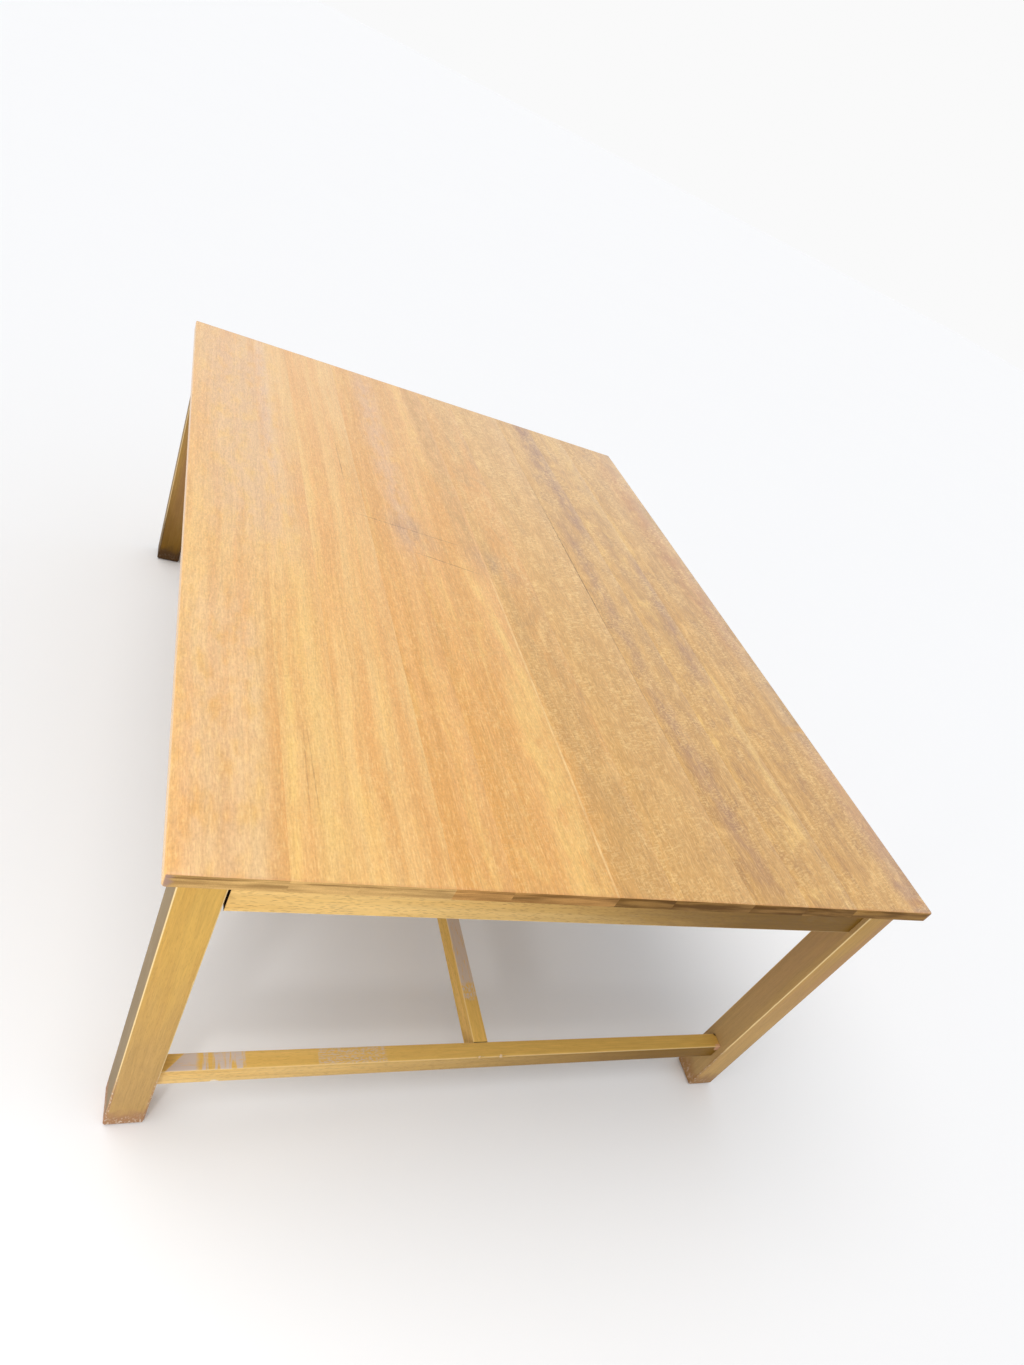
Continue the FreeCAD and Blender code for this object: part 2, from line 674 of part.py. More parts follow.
def make_buttons():
    """The wooden buttons under the top, each with its tongue in an apron's groove."""
    body = new_body("button")
    shoulder = "-groove_drop"
    foot = "(-groove_drop - button_tongue_thickness)"
    end = "(button_gap + button_length)"
    outline = [("-button_tongue_length", foot), (f"{end} - button_bevel", foot), (end, f"{foot} + button_bevel"),
               (end, "0"), ("button_gap", "0"), ("button_gap", shoulder), ("-button_tongue_length", shoulder)]
    sketch = draw_polygon(sketch_on(body, "YZ_Plane", ("0", "0", "-button_width / 2")), outline)
    pad(body, sketch, "button_width")
    centre = [("0", BUTTON_SCREW)]
    sketch = draw_small_rounds(sketch_on(body, "XY_Plane"), "screw_diameter + screw_clearance", centre)
    pocket(body, sketch)
    sketch = sketch_on(body, "XY_Plane", ("0", "0", "-screw_grip"))
    pocket(body, draw_small_rounds(sketch, "screw_head_diameter + screw_clearance", centre))
    spots = [(upright(side), (x, y, LEG_HEIGHT)) for side, (x, y) in button_spots()]
    return group("table_buttons", body, spots)


def make_top_screws():
    """The screws that hold the top, through the buttons and the cross bearer."""
    template = draw_screw("top_screw", "screw_grip", SCREW_REACH)
    level = f"{LEG_HEIGHT} - screw_grip"
    spots = [(upright(0), (x, y, level)) for board in BOARDS for x, y in screw_places(board)]
    return group("top_screws", template, spots)


def check_model():
    """Stop if any object failed or any node's shape is empty or invalid."""
    failed = [item.Label for item in doc.Objects if {"Invalid", "Error"} & set(item.State)]
    failed += [item.Label for item in nodes if item.Shape.isNull() or not item.Shape.isValid()]
    if failed:
        raise RuntimeError(f"failed: {failed}")


def write_nodes():
    """Write every node to its own file."""
    os.makedirs("parts", exist_ok=True)
    for item in nodes:
        item.Shape.exportStep(f"parts/{item.Label}.step")
        print(item.Label, len(item.Shape.Solids), round(item.Shape.Volume))


fill_sheet()
for name in BOARDS:
    make_board(name)
make_tongues()
for quarter_turns in range(len(CORNERS)):
    make_leg(quarter_turns)
    make_apron(quarter_turns)
    make_corner_block(quarter_turns)
for end_side in (RIGHT, LEFT):
    make_end_stretcher(end_side)
make_long_stretcher()
make_bearer()
make_block_screws()
make_hanger_bolts()
make_washers()
make_nuts()
make_buttons()
make_top_screws()
doc.recompute()
check_model()
write_nodes()
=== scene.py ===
"""The looks of a dining table: a plank top of oak on a beech frame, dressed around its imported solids.

X runs along the table, Y across it and Z up, in metres, with the floor at z = 0. The pieces that show wear in
their shape and the metal fixings are built here. The other solids keep their shape and get a finish.
"""
from __future__ import annotations

import logging
import math
from dataclasses import dataclass, field
from enum import Enum
from typing import Iterator, Sequence, Union

import bmesh
import bpy
from mathutils import Color, Matrix, Quaternion, Vector, noise


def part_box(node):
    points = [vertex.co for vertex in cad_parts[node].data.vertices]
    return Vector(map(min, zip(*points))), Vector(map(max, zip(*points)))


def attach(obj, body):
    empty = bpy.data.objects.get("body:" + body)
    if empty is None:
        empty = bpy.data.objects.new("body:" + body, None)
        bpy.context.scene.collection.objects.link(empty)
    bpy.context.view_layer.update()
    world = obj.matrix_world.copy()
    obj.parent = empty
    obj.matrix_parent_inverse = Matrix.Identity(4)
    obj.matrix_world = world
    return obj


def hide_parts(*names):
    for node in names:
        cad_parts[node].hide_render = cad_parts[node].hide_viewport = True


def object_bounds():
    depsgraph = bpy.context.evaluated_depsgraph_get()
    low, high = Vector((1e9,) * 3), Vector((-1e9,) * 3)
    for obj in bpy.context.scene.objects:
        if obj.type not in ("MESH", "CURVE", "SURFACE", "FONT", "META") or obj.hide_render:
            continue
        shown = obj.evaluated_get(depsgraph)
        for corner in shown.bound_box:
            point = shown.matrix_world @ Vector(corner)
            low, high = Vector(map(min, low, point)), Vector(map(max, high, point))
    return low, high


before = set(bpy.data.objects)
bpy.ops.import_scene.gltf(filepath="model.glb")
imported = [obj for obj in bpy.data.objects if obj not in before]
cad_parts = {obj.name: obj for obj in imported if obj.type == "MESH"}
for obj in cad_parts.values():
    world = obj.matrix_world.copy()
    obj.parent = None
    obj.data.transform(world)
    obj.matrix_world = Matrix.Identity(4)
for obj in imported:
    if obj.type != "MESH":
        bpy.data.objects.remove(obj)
CAD_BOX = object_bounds()
TOP_END, TOP_SIDE, TOP_FACE = CAD_BOX[1]

LOG = logging.getLogger("table")
BODY = "root"
MM = 0.001
TURN = 2 * math.pi
TONE_STEPS = 255
SHARP_ANGLE = math.radians(38)
WELD_DISTANCE = 0.01 * MM
SORTING_DIGITS = 4

Colour = tuple[float, float, float, float]
Place = tuple[float, float, float]
Point = tuple[float, float]
Span = tuple[float, float]
Bounds = tuple[float, float, float, float]
Term = Union["Wire", float]


def tone(red: int, green: int, blue: int) -> Colour:
    """A colour from eight-bit steps of red, green and blue."""
    screen = Color((red / TONE_STEPS, green / TONE_STEPS, blue / TONE_STEPS))
    return (*screen.from_srgb_to_scene_linear(), 1.0)


# Node trees

# The Mix node's sockets for colours, which share their names with its other kinds of socket
MIX_SHARE, MIX_FIRST, MIX_SECOND, MIX_RESULT = 0, 6, 7, 2
NOISE_ROUGHNESS = 0.58
NOISE_MIDDLE = 0.5
BUMP_STRENGTH = 0.6
# How far a seed of 1 moves a pattern along, across and through the wood
SEED_SHIFT = (1.7, 0.31, 0.23)
# How far a face is turned where it starts to count as end grain, front, top or underside, and where it does
END_FACING = (0.55, 0.85)
FRONT_FACING = (-0.6, -0.9)
UP_FACING = (0.5, 0.9)
BAR_UP_FACING = (0.6, 0.9)
DOWN_FACING = (-0.5, -0.9)


class Wire:
    """A socket of a node tree that takes part in Python sums."""

    def __init__(self, owner: NodeTree, socket: bpy.types.NodeSocket) -> None:
        """Keep the socket and the tree that it belongs to."""
        self.owner = owner
        self.socket = socket

    def other(self, output: str | int) -> Wire:
        """Another output of the same node."""
        return Wire(self.owner, self.socket.node.outputs[output])

    def __add__(self, term: Term) -> Wire:
        """The sum of two values."""
        return self.owner.maths("ADD", self, term)

    __radd__ = __add__

    def __sub__(self, term: Term) -> Wire:
        """This value less another."""
        return self.owner.maths("SUBTRACT", self, term)

    def __rsub__(self, term: Term) -> Wire:
        """Another value less this one."""
        return self.owner.maths("SUBTRACT", term, self)

    def __mul__(self, term: Term) -> Wire:
        """The product of two values."""
        return self.owner.maths("MULTIPLY", self, term)

    __rmul__ = __mul__

    def __abs__(self) -> Wire:
        """The value without its sign."""
        return self.owner.maths("ABSOLUTE", self)


class NodeTree:
    """Adds nodes to one tree and hands out their sockets as wires."""

    def __init__(self, tree: bpy.types.NodeTree) -> None:
        """Start from an empty tree."""
        self.tree = tree
        tree.nodes.clear()

    def node(self, kind: str, settings: dict[str, object],
             inputs: dict[str | int, object]) -> bpy.types.Node:
        """Add one node.

        Args:
            kind: The node's type, without its ShaderNode prefix.
            settings: The node's own settings, which are set first.
            inputs: The values or wires of its sockets, by name or number.

        Returns:
            The new node.
        """
        made = self.tree.nodes.new(f"ShaderNode{kind}")
        for name, value in settings.items():
            setattr(made, name, value)
        for name, value in inputs.items():
            if isinstance(value, Wire):
                self.tree.links.new(value.socket, made.inputs[name])
            else:
                made.inputs[name].default_value = value
        return made

    def wire(self, kind: str, settings: dict[str, object], inputs: dict[str | int, object],
             output: str | int = 0) -> Wire:
        """Add one node and take one of its outputs."""
        return Wire(self, self.node(kind, settings, inputs).outputs[output])

    def maths(self, operation: str, *terms: Term) -> Wire:
        """One Math node on its terms."""
        return self.wire("Math", {"operation": operation}, dict(enumerate(terms)))

    def split(self, vector: Wire) -> tuple[Wire, Wire, Wire]:
        """The three parts of a vector."""
        first = self.wire("SeparateXYZ", {}, {"Vector": vector}, "X")
        return first, first.other("Y"), first.other("Z")

    def mix(self, first: Wire | Colour, second: Wire | Colour, share: Term, blend: str = "MIX") -> Wire:
        """Blend two colours.

        Args:
            first: The colour underneath.
            second: The colour laid over it.
            share: How much of the second shows, from 0 to 1.
            blend: How the second is laid over the first.

        Returns:
            The blended colour.
        """
        settings = {"data_type": "RGBA", "blend_type": blend, "clamp_factor": True}
        inputs = {MIX_SHARE: share, MIX_FIRST: first, MIX_SECOND: second}
        return self.wire("Mix", settings, inputs, MIX_RESULT)

    def shade(self, colour: Wire | Colour, light: Wire) -> Wire:
        """A colour made darker or lighter by a value."""
        return self.mix(colour, light, 1.0, "MULTIPLY")

    def step(self, value: Wire, low: float, high: float) -> Wire:
        """A smooth step from 0 at one value to 1 at another."""
        inputs = {"Value": value, "From Min": low, "From Max": high}
        return self.wire("MapRange", {"interpolation_type": "SMOOTHSTEP"}, inputs)

    def below(self, value: Wire, limit: float, soft: float) -> Wire:
        """1 where a value is below a limit, with a soft edge."""
        return self.step(value, limit + soft, limit - soft)

    def span(self, value: Wire, start: float, end: float, soft: float) -> Wire:
        """1 where a value lies between two others, with soft edges."""
        return self.step(value, start - soft, start + soft) * self.below(value, end, soft)

    def sway(self, value: Wire, reach: float) -> Wire:
        """A random value as a distance to either side, over a whole reach."""
        return (value - NOISE_MIDDLE) * reach

    def noise(self, x: Term, y: Term, z: Term, layers: float = 2.0, warp: float = 0.0) -> Wire:
        """Soft random values over three coordinates.

        Args:
            x: First coordinate, in waves.
            y: Second coordinate, in waves.
            z: Third coordinate, in waves.
            layers: How many finer layers are added.
            warp: How far the pattern is warped.

        Returns:
            Values around a half.
        """
        vector = self.wire("CombineXYZ", {}, {"X": x, "Y": y, "Z": z})
        return self.wire("TexNoise", {}, {"Vector": vector, "Scale": 1.0, "Detail": layers,
                                          "Roughness": NOISE_ROUGHNESS, "Distortion": warp})

    def cells(self, x: Term, y: Term, z: Term) -> Wire:
        """The distance from scattered points over three coordinates, in waves."""
        vector = self.wire("CombineXYZ", {}, {"X": x, "Y": y, "Z": z})
        return self.wire("TexVoronoi", {}, {"Vector": vector, "Scale": 1.0}, "Distance")


class Shader(NodeTree):
    """The node tree of one material, with the place and facing of each point of the surface."""

    def __init__(self, name: str) -> None:
        """Make the material and its coordinates.

        Args:
            name: The material's name.
        """
        self.material = bpy.data.materials.new(name)
        self.material.use_nodes = True
        super().__init__(self.material.node_tree)
        place = self.wire("TexCoord", {}, {}, "Object")
        self.place = dict(zip("xyz", self.split(place)))
        self.facing = dict(zip("xyz", self.split(place.other("Normal"))))

    def spots(self, waves: Place, layers: float = 2.0) -> Wire:
        """Noise over the table's own axes, with so many waves in a metre along each."""
        x, y, z = (self.place[axis] * wave for axis, wave in zip("xyz", waves))
        return self.noise(x, y, z, layers)

    def surface(self, colour: Wire, roughness: Term, relief: Wire, depth: float, gloss: float = 0.5,
                coat: Term = 0.0, coat_roughness: float = 0.2, metallic: float = 0.0) -> bpy.types.Material:
        """Close the tree with a surface.

        Args:
            colour: The base colour.
            roughness: How dull the surface is.
            relief: The height of its fine relief, from 0 to 1.
            depth: The depth of that relief in metres.
            gloss: How strongly the surface itself reflects, where a half is plain.
            coat: How much clear lacquer lies over it.
            coat_roughness: How dull the lacquer is.
            metallic: Whether the surface is metal.

        Returns:
            The finished material.
        """
        normal = self.wire("Bump", {}, {"Strength": BUMP_STRENGTH, "Distance": depth, "Height": relief})
        surface = self.wire("BsdfPrincipled", {}, {
            "Base Color": colour, "Roughness": roughness, "Metallic": metallic, "Normal": normal,
            "Specular IOR Level": gloss, "Coat Weight": coat, "Coat Roughness": coat_roughness})
        self.node("OutputMaterial", {}, {"Surface": surface})
        return self.material


class Grain(Enum):
    """The way that the fibres of a piece run, with its axes along, across and through the wood."""

    LENGTHWISE = "xyz"
    CROSSWISE = "yxz"
    UPRIGHT = "zxy"


@dataclass(frozen=True)
class Pattern:
    """A random pattern in wood, by its waves in a metre along the fibres and across them."""

    along: float
    across: float
    layers: float = 2.0
    warp: float = 0.0


class WoodShader(Shader):
    """A material whose pattern is drawn out along the fibres of one piece."""

    def __init__(self, name: str, grain: Grain, seed: float) -> None:
        """Lay the pattern's coordinates along the fibres.

        Args:
            name: The material's name.
            grain: The way that the fibres run.
            seed: A number that sets this piece's pattern apart from others.
        """
        super().__init__(name)
        self.along, self.across, self.through = (
            self.place[axis] + shift * seed for axis, shift in zip(grain.value, SEED_SHIFT))
        self.end_grain = self.step(abs(self.facing[grain.value[0]]), *END_FACING)

    def waves(self, pattern: Pattern) -> tuple[Wire, Wire, Wire]:
        """The coordinates along, across and through the wood, in a pattern's waves."""
        return self.along * pattern.along, self.across * pattern.across, self.through * pattern.across

    def fibres(self, pattern: Pattern) -> Wire:
        """Noise drawn out along the fibres, with values around a half."""
        return self.noise(*self.waves(pattern), pattern.layers, pattern.warp)

    def dashes(self, pattern: Pattern, size: float) -> Wire:
        """Short dashes along the fibres, of a size in waves."""
        return self.step(self.cells(*self.waves(pattern)), size, 0.5 * size)


# Oak

class OakTone(Enum):
    """The tones of the top's oak under its warm lacquer."""

    HONEY = tone(241, 194, 122)
    STRAW = tone(245, 200, 116)
    APRICOT = tone(234, 174, 100)
    AMBER = tone(224, 162, 82)
    SAND = tone(218, 167, 96)
    TAN = tone(213, 162, 88)
    BISCUIT = tone(198, 149, 82)
    UMBER = tone(172, 124, 72)


PORE = tone(122, 78, 40)
FLECK = tone(252, 214, 144)
PLUM = tone(164, 120, 94)
HAZE = tone(222, 184, 156)
FADED = tone(238, 204, 168)
SMUDGE = tone(160, 126, 108)
RUST = tone(186, 120, 78)
SEAM_DIRT = tone(96, 62, 36)
RAW_OAK = tone(180, 164, 142)
DARK_END = tone(98, 64, 12)
KNOCKED = tone(158, 128, 116)

# Patterns of the oak, and the noise between which each one sets in
OAK_BEND = Pattern(1.4, 3.0)
OAK_BEND_REACH = 45 * MM
OAK_STRIPE_WAVES = 1.3
OAK_STRIPE_EDGE = (0.34, 0.66)
OAK_LINES = Pattern(4.0, 150.0, 3.0)
OAK_FIBRE = Pattern(60.0, 400.0)
OAK_FIBRE_EDGE = (0.46, 0.28)
OAK_SPECKS = Pattern(170.0, 300.0)
OAK_CRACKS = Pattern(14.0, 260.0, 1.0)
OAK_CRACK_EDGE = (0.66, 0.76)
OAK_STREAKS = Pattern(2.2, 44.0, 3.0)
OAK_MOTTLE = Pattern(12.0, 24.0, 5.0, 0.9)
OAK_DARK_EDGE = (0.50, 0.72)
OAK_LIGHT_EDGE = (0.48, 0.26)
OAK_RELIEF = 0.25 * MM
# Where along the table the painted sheen of the far end starts, and where it is strongest
OAK_FADE_SPAN = (0.7, -0.95)
# The pale ray flecks lie at a slant across the fibres, gathered in patches
RAY_SLANT = (300.0, 90.0)
RAY_WAVES = 80.0
RAY_WARP = 0.3
RAY_EDGE = (0.49, 0.62)
RAY_PATCHES = Pattern(12.0, 20.0, 3.0)
RAY_PATCH_EDGE = (0.36, 0.60)
# A mark wavers, is broken into patches, and fades out over a share of its length
WAVER_WAVES = (3.0, 8.0)
BROKEN_WAVES = (14.0, 34.0)
BROKEN_EDGE = (0.25, 0.6)
MARK_END_SHARE = 0.12


@dataclass(frozen=True)
class Mark:
    """A streak in the wood or a mark on its face, along a line from one place to another."""

    colour: Colour
    strength: float
    start: Point
    end: Point
    half_width: float
    soft: float
    waver: float = 0.0
    on_face: bool = False

    def touches(self, low: float, high: float) -> bool:
        """Whether the mark reaches a board.

        Args:
            low: The board's front edge in Y.
            high: The board's back edge in Y.

        Returns:
            True if any of the mark lies on the board.
        """
        reach = self.half_width + self.soft + self.waver
        ends = (self.start[1], self.end[1])
        return min(ends) - reach < high and max(ends) + reach > low

    def lay(self, wood: WoodShader, colour: Wire) -> Wire:
        """Lay the mark over a colour.

        Args:
            wood: The tree of the board's material.
            colour: The colour so far.

        Returns:
            The colour with the mark.
        """
        run, rise = self.end[0] - self.start[0], self.end[1] - self.start[1]
        length = math.hypot(run, rise)
        run, rise = run / length, rise / length
        x, y = wood.place["x"] - self.start[0], wood.place["y"] - self.start[1]
        along = x * run + y * rise
        off = y * run - x * rise
        if self.waver:
            off = off + wood.sway(wood.noise(x * WAVER_WAVES[0], y * WAVER_WAVES[1], 0.0), 2 * self.waver)
        ends = wood.span(along, 0.0, length, self.soft + MARK_END_SHARE * length)
        broken = wood.step(wood.noise(x * BROKEN_WAVES[0], y * BROKEN_WAVES[1], 0.0), *BROKEN_EDGE)
        share = wood.below(abs(off), self.half_width, self.soft) * ends * broken * self.strength
        if self.on_face:
            share = share * wood.step(wood.facing["z"], *UP_FACING)
        return wood.mix(colour, self.colour, share)


@dataclass(frozen=True)
class EndGrain:
    """The sawn end of a board, with its growth rings, pores and stains."""

    colour: OakTone
    shade: float
    seed: float
    ring_bow: float = 6.0
    ring_waves: Point = (260.0, 60.0)
    pore_waves: float = 900.0
    stain_waves: Point = (9.0, 90.0)
    stain_edge: Span = (0.25, 0.75)
    stain_share: float = 0.5
    line_drop: float = 4.8 * MM
    line_half: float = 1.2 * MM
    line_soft: float = 1.0 * MM
    line_edge: Span = (0.35, 0.60)
    line_share: float = 0.6
    knock_reach: float = 20 * MM
    knock_edge: Span = (-2.3 * MM, 7.7 * MM)
    knock_share: float = 0.8
    rust_waves: float = 60.0
    rust_reach: float = 6 * MM
    rust_edge: Span = (-6 * MM, 1 * MM)
    rust_share: float = 0.35

    def lay(self, wood: WoodShader, colour: Wire) -> Wire:
        """Lay the end grain over the ends of a board.

        Args:
            wood: The tree of the board's material.
            colour: The colour of the board's faces.

        Returns:
            The colour with its end grain.
        """
        x, y, z = (wood.place[axis] for axis in "xyz")
        bow = wood.across + z * z * self.ring_bow
        rings = wood.noise(bow * self.ring_waves[0], wood.through * self.ring_waves[1], self.seed)
        pores = wood.cells(wood.across * self.pore_waves, wood.through * self.pore_waves, 0.0)
        stain = wood.noise(wood.across * self.stain_waves[0], wood.through * self.stain_waves[1],
                           self.seed, layers=3.0)
        stained = wood.step(stain, *self.stain_edge) * self.stain_share + self.shade
        end = wood.mix(self.colour.value, DARK_END, stained)
        end = wood.shade(end, 0.82 + 0.36 * rings)
        end = wood.shade(end, 0.84 + 0.26 * pores)
        line = wood.below(abs(z - (TOP_FACE - self.line_drop)), self.line_half, self.line_soft)
        end = wood.mix(end, DARK_END, line * wood.step(stain, *self.line_edge) * self.line_share)
        outward = abs(y) - TOP_SIDE + self.knock_reach * stain
        end = wood.mix(end, KNOCKED, wood.step(outward, *self.knock_edge) * self.knock_share)
        ragged = wood.noise(wood.along * self.rust_waves, wood.across * self.rust_waves, 0.0)
        endward = abs(x) - TOP_END + wood.sway(ragged, self.rust_reach)
        colour = wood.mix(colour, RUST, wood.step(endward, *self.rust_edge) * self.rust_share)
        return wood.mix(colour, end, wood.end_grain)


@dataclass(frozen=True)
class Oak:
    """The finish of one board of the top."""

    board: str
    main: OakTone
    stripe: OakTone
    dark: OakTone
    light: OakTone
    seed: float
    stripes: float
    streaking: float
    mottling: float
    figure: float
    end_shade: float
    fading: float = 0.15
    flecking: float = 0.35
    cracking: float = 0.10

    def material(self, marks: Sequence[Mark]) -> bpy.types.Material:
        """Make the board's material.

        Args:
            marks: The marks that reach this board.

        Returns:
            The material.
        """
        wood = WoodShader(f"oak_{self.board}", Grain.LENGTHWISE, self.seed)
        wood.across = wood.across + wood.sway(wood.fibres(OAK_BEND), OAK_BEND_REACH)
        stripes = wood.step(wood.fibres(Pattern(OAK_STRIPE_WAVES, self.stripes, 3.0)), *OAK_STRIPE_EDGE)
        lines = wood.fibres(OAK_LINES)
        fibre = wood.fibres(OAK_FIBRE)
        cracks = wood.step(wood.fibres(OAK_CRACKS), *OAK_CRACK_EDGE)
        mottle = wood.fibres(OAK_MOTTLE)

        colour = wood.mix(self.main.value, self.stripe.value, stripes)
        for pattern, strength in ((wood.fibres(OAK_STREAKS), self.streaking), (mottle, self.mottling)):
            colour = wood.mix(colour, self.dark.value, wood.step(pattern, *OAK_DARK_EDGE) * strength)
            colour = wood.mix(colour, self.light.value, wood.step(pattern, *OAK_LIGHT_EDGE) * strength)
        # painted sheen: the top grows paler towards the far end
        colour = wood.mix(colour, FADED, wood.step(wood.place["x"], *OAK_FADE_SPAN) * self.fading)
        for mark in marks:
            colour = mark.lay(wood, colour)
        colour = wood.shade(colour, 1.56 - 0.30 * lines - 0.42 * fibre - 0.44 * wood.fibres(OAK_SPECKS))
        colour = wood.mix(colour, FLECK, wood.step(fibre, *OAK_FIBRE_EDGE) * self.flecking)
        colour = wood.mix(colour, FLECK, self.ray_share(wood))
        colour = wood.mix(colour, PORE, cracks * self.cracking)
        colour = EndGrain(self.main, self.end_shade, self.seed).lay(wood, colour)
        under = wood.step(wood.facing["z"], *DOWN_FACING)
        raw = wood.mix(RAW_OAK, self.main.value, 0.15 * stripes)
        colour = wood.mix(colour, wood.shade(raw, 0.75 + 0.5 * lines), under)

        roughness = 0.34 + 0.12 * mottle + 0.10 * fibre + 0.35 * wood.end_grain
        relief = 0.4 * lines + 0.5 * fibre - 0.6 * cracks
        lacquer = (0.45 + 0.40 * mottle) * (1 - under) * (1 - wood.end_grain)
        return wood.surface(colour, roughness, relief, OAK_RELIEF,
                            gloss=0.25, coat=lacquer, coat_roughness=0.22)

    def ray_share(self, wood: WoodShader) -> Wire:
        """The pale ray flecks, which show more towards the far end.

        Args:
            wood: The tree of the board's material.

        Returns:
            The share of the flecks over the board.
        """
        slanted = wood.along * RAY_SLANT[0] + wood.across * RAY_SLANT[1]
        wavy = wood.noise(slanted, wood.across * RAY_WAVES, wood.through * RAY_WAVES, warp=RAY_WARP)
        gathered = wood.step(wood.fibres(RAY_PATCHES), *RAY_PATCH_EDGE)
        return wood.step(wavy, *RAY_EDGE) * gathered * self.figure * (0.85 - 0.30 * wood.place["x"])


# Beech

class BeechTone(Enum):
    """The tones of the frame's beech under its yellowed lacquer."""

    GOLD = tone(208, 164, 80)
    HONEY = tone(198, 152, 72)
    STRAW = tone(226, 182, 106)
    CREAM = tone(238, 198, 126)
    OLIVE = tone(188, 146, 78)
    CHESTNUT = tone(180, 136, 84)
    WALNUT = tone(124, 88, 20)
    DULL = tone(192, 152, 90)


BEECH_FLECK = tone(112, 74, 36)
BARE_ARRIS = tone(246, 216, 158)
FOOT_STAIN = tone(166, 118, 84)
BROWN_FOOT = tone(152, 110, 68)
DAMP_FOOT = tone(66, 42, 24)
WORN_LACQUER = tone(212, 200, 198)
SCUFF = tone(240, 226, 206)
# grey tone for random grime, and for painted shade on the -Y side faces
GRIME = tone(136, 122, 100)
# near-black painted shade inside the joints and in a joint's gap
JOINT_DARK = tone(52, 34, 12)
PINK_WOOD = tone(218, 168, 138)
UPPER_FACE = tone(240, 194, 100)

# Patterns of the beech, and the noise between which each one sets in
BEECH_STRIPES = Pattern(1.6, 30.0)
BEECH_STRIPE_EDGE = (0.32, 0.68)
BEECH_LINES = Pattern(6.0, 230.0, 3.0)
BEECH_FIBRE = Pattern(30.0, 620.0)
BEECH_MOTTLE = Pattern(9.0, 22.0, 4.0, 0.5)
BEECH_DASHES = Pattern(60.0, 560.0)
BEECH_DASH_SIZE = 0.34
BEECH_RELIEF = 0.2 * MM
# The ragged edge and the reach of the painted shade that darkens a piece along its length, where the light
# falls off
DARKENING_EDGE = Pattern(5.0, 30.0, 3.0)
DARKENING_REACH = 0.25
GRIME_EDGE = (0.58, 0.76)
GRIME_SHARE = 0.20
JOINT_EDGE = 0.4 * MM
# The lacquer is rubbed off along a thin line on each long edge, and deeper over some stretches; the pale line
# is also a painted highlight
ARRIS_LINE = (2.4 * MM, 1.2 * MM)
ARRIS_DEEPER = (2.2 * MM, 0.6 * MM)
ARRIS_STRETCHES = Pattern(14.0, 60.0, 3.0)
ARRIS_REACH = 7 * MM
ARRIS_UNWORN = 0.55
# The upper face of a bar is painted lighter and yellower, as if lit from above, and carries a painted pale
# sheen over worn lacquer in scratched patches
UPPER_LINES = Pattern(20.0, 300.0, 3.0)
UPPER_SHARE = 0.6
PATCH_EDGE = Pattern(24.0, 90.0)
PATCH_EDGE_REACH = 12 * MM
PATCH_SCRATCHES = Pattern(40.0, 300.0)
PATCH_SCRATCH_EDGE = (0.58, 0.66)
PATCH_SCRATCH_SHARE = 0.6
PATCH_SPOT_EDGE = (0.44, 0.58)
PATCH_START_EDGE = 2 * MM
PATCH_SOLID_SOFT = 6 * MM
PATCH_END_SOFT = 4 * MM
SCAR_EDGE = Pattern(160.0, 260.0, 3.0)
SCAR_SOLID_SHARE = 0.7

# The corners of a bar's section, by the signs of their two sides
CORNER_SIGNS = ((1, 1), (-1, 1), (-1, -1), (1, -1))


def corner_place(bounds: Bounds, signs: Point) -> Point:
    """The corner of a section on the high or the low side across the bar, and through it."""
    low_a, high_a, low_b, high_b = bounds
    return (high_a if signs[0] > 0 else low_a), (high_b if signs[1] > 0 else low_b)


@dataclass(frozen=True)
class Foot:
    """How the lowest stretch of a leg is stained and scuffed, by heights above the floor; on one leg the dark
    foot tone is painted shade.
    """

    stain: Colour = FOOT_STAIN
    scuffs: float = 0.6
    stain_edge: Span = (62 * MM, 22 * MM)
    stain_share: float = 0.8
    arris_width: float = 2.0
    arris_edge: Span = (210 * MM, 100 * MM)
    arris_share: float = 0.75
    scuff_edge: Span = (45 * MM, 10 * MM)
    scuff_waves: Place = (240.0, 240.0, 120.0)
    scuff_spots: Span = (0.54, 0.64)
    ragged_waves: Place = (60.0, 60.0, 30.0)
    ragged_reach: float = 50 * MM

    def lay(self, wood: WoodShader, colour: Wire, arris: Wire) -> Wire:
        """Stain and scuff the foot.

        Args:
            wood: The tree of the leg's material.
            colour: The colour so far.
            arris: The share of the leg's rubbed edges.

        Returns:
            The colour with its foot.
        """
        ragged = wood.place["z"] + wood.sway(wood.spots(self.ragged_waves, 3.0), self.ragged_reach)
        colour = wood.mix(colour, self.stain, wood.step(ragged, *self.stain_edge) * self.stain_share)
        rubbed = arris * wood.step(ragged, *self.arris_edge)
        colour = wood.mix(colour, self.stain, rubbed * self.arris_share)
        low = wood.maths("MAXIMUM", wood.step(ragged, *self.scuff_edge), rubbed)
        spots = wood.step(wood.spots(self.scuff_waves), *self.scuff_spots)
        return wood.mix(colour, SCUFF, spots * low * self.scuffs)


class Bloom(Enum):
    """The spot patterns of the painted pale sheen over worn lacquer."""

    FINGERS = Pattern(100.0, 12.0, 3.0)
    SPECKLES = Pattern(150.0, 420.0, 3.0)


@dataclass(frozen=True)
class Patch:
    """A stretch of a bar's upper face with a painted pale sheen over worn lacquer, solid at first and then in
    spots, whose start can slant along a cast shadow's edge.
    """

    bloom: Bloom
    start: float
    solid_to: float
    end: float
    strength: float
    slant: float = 0.0


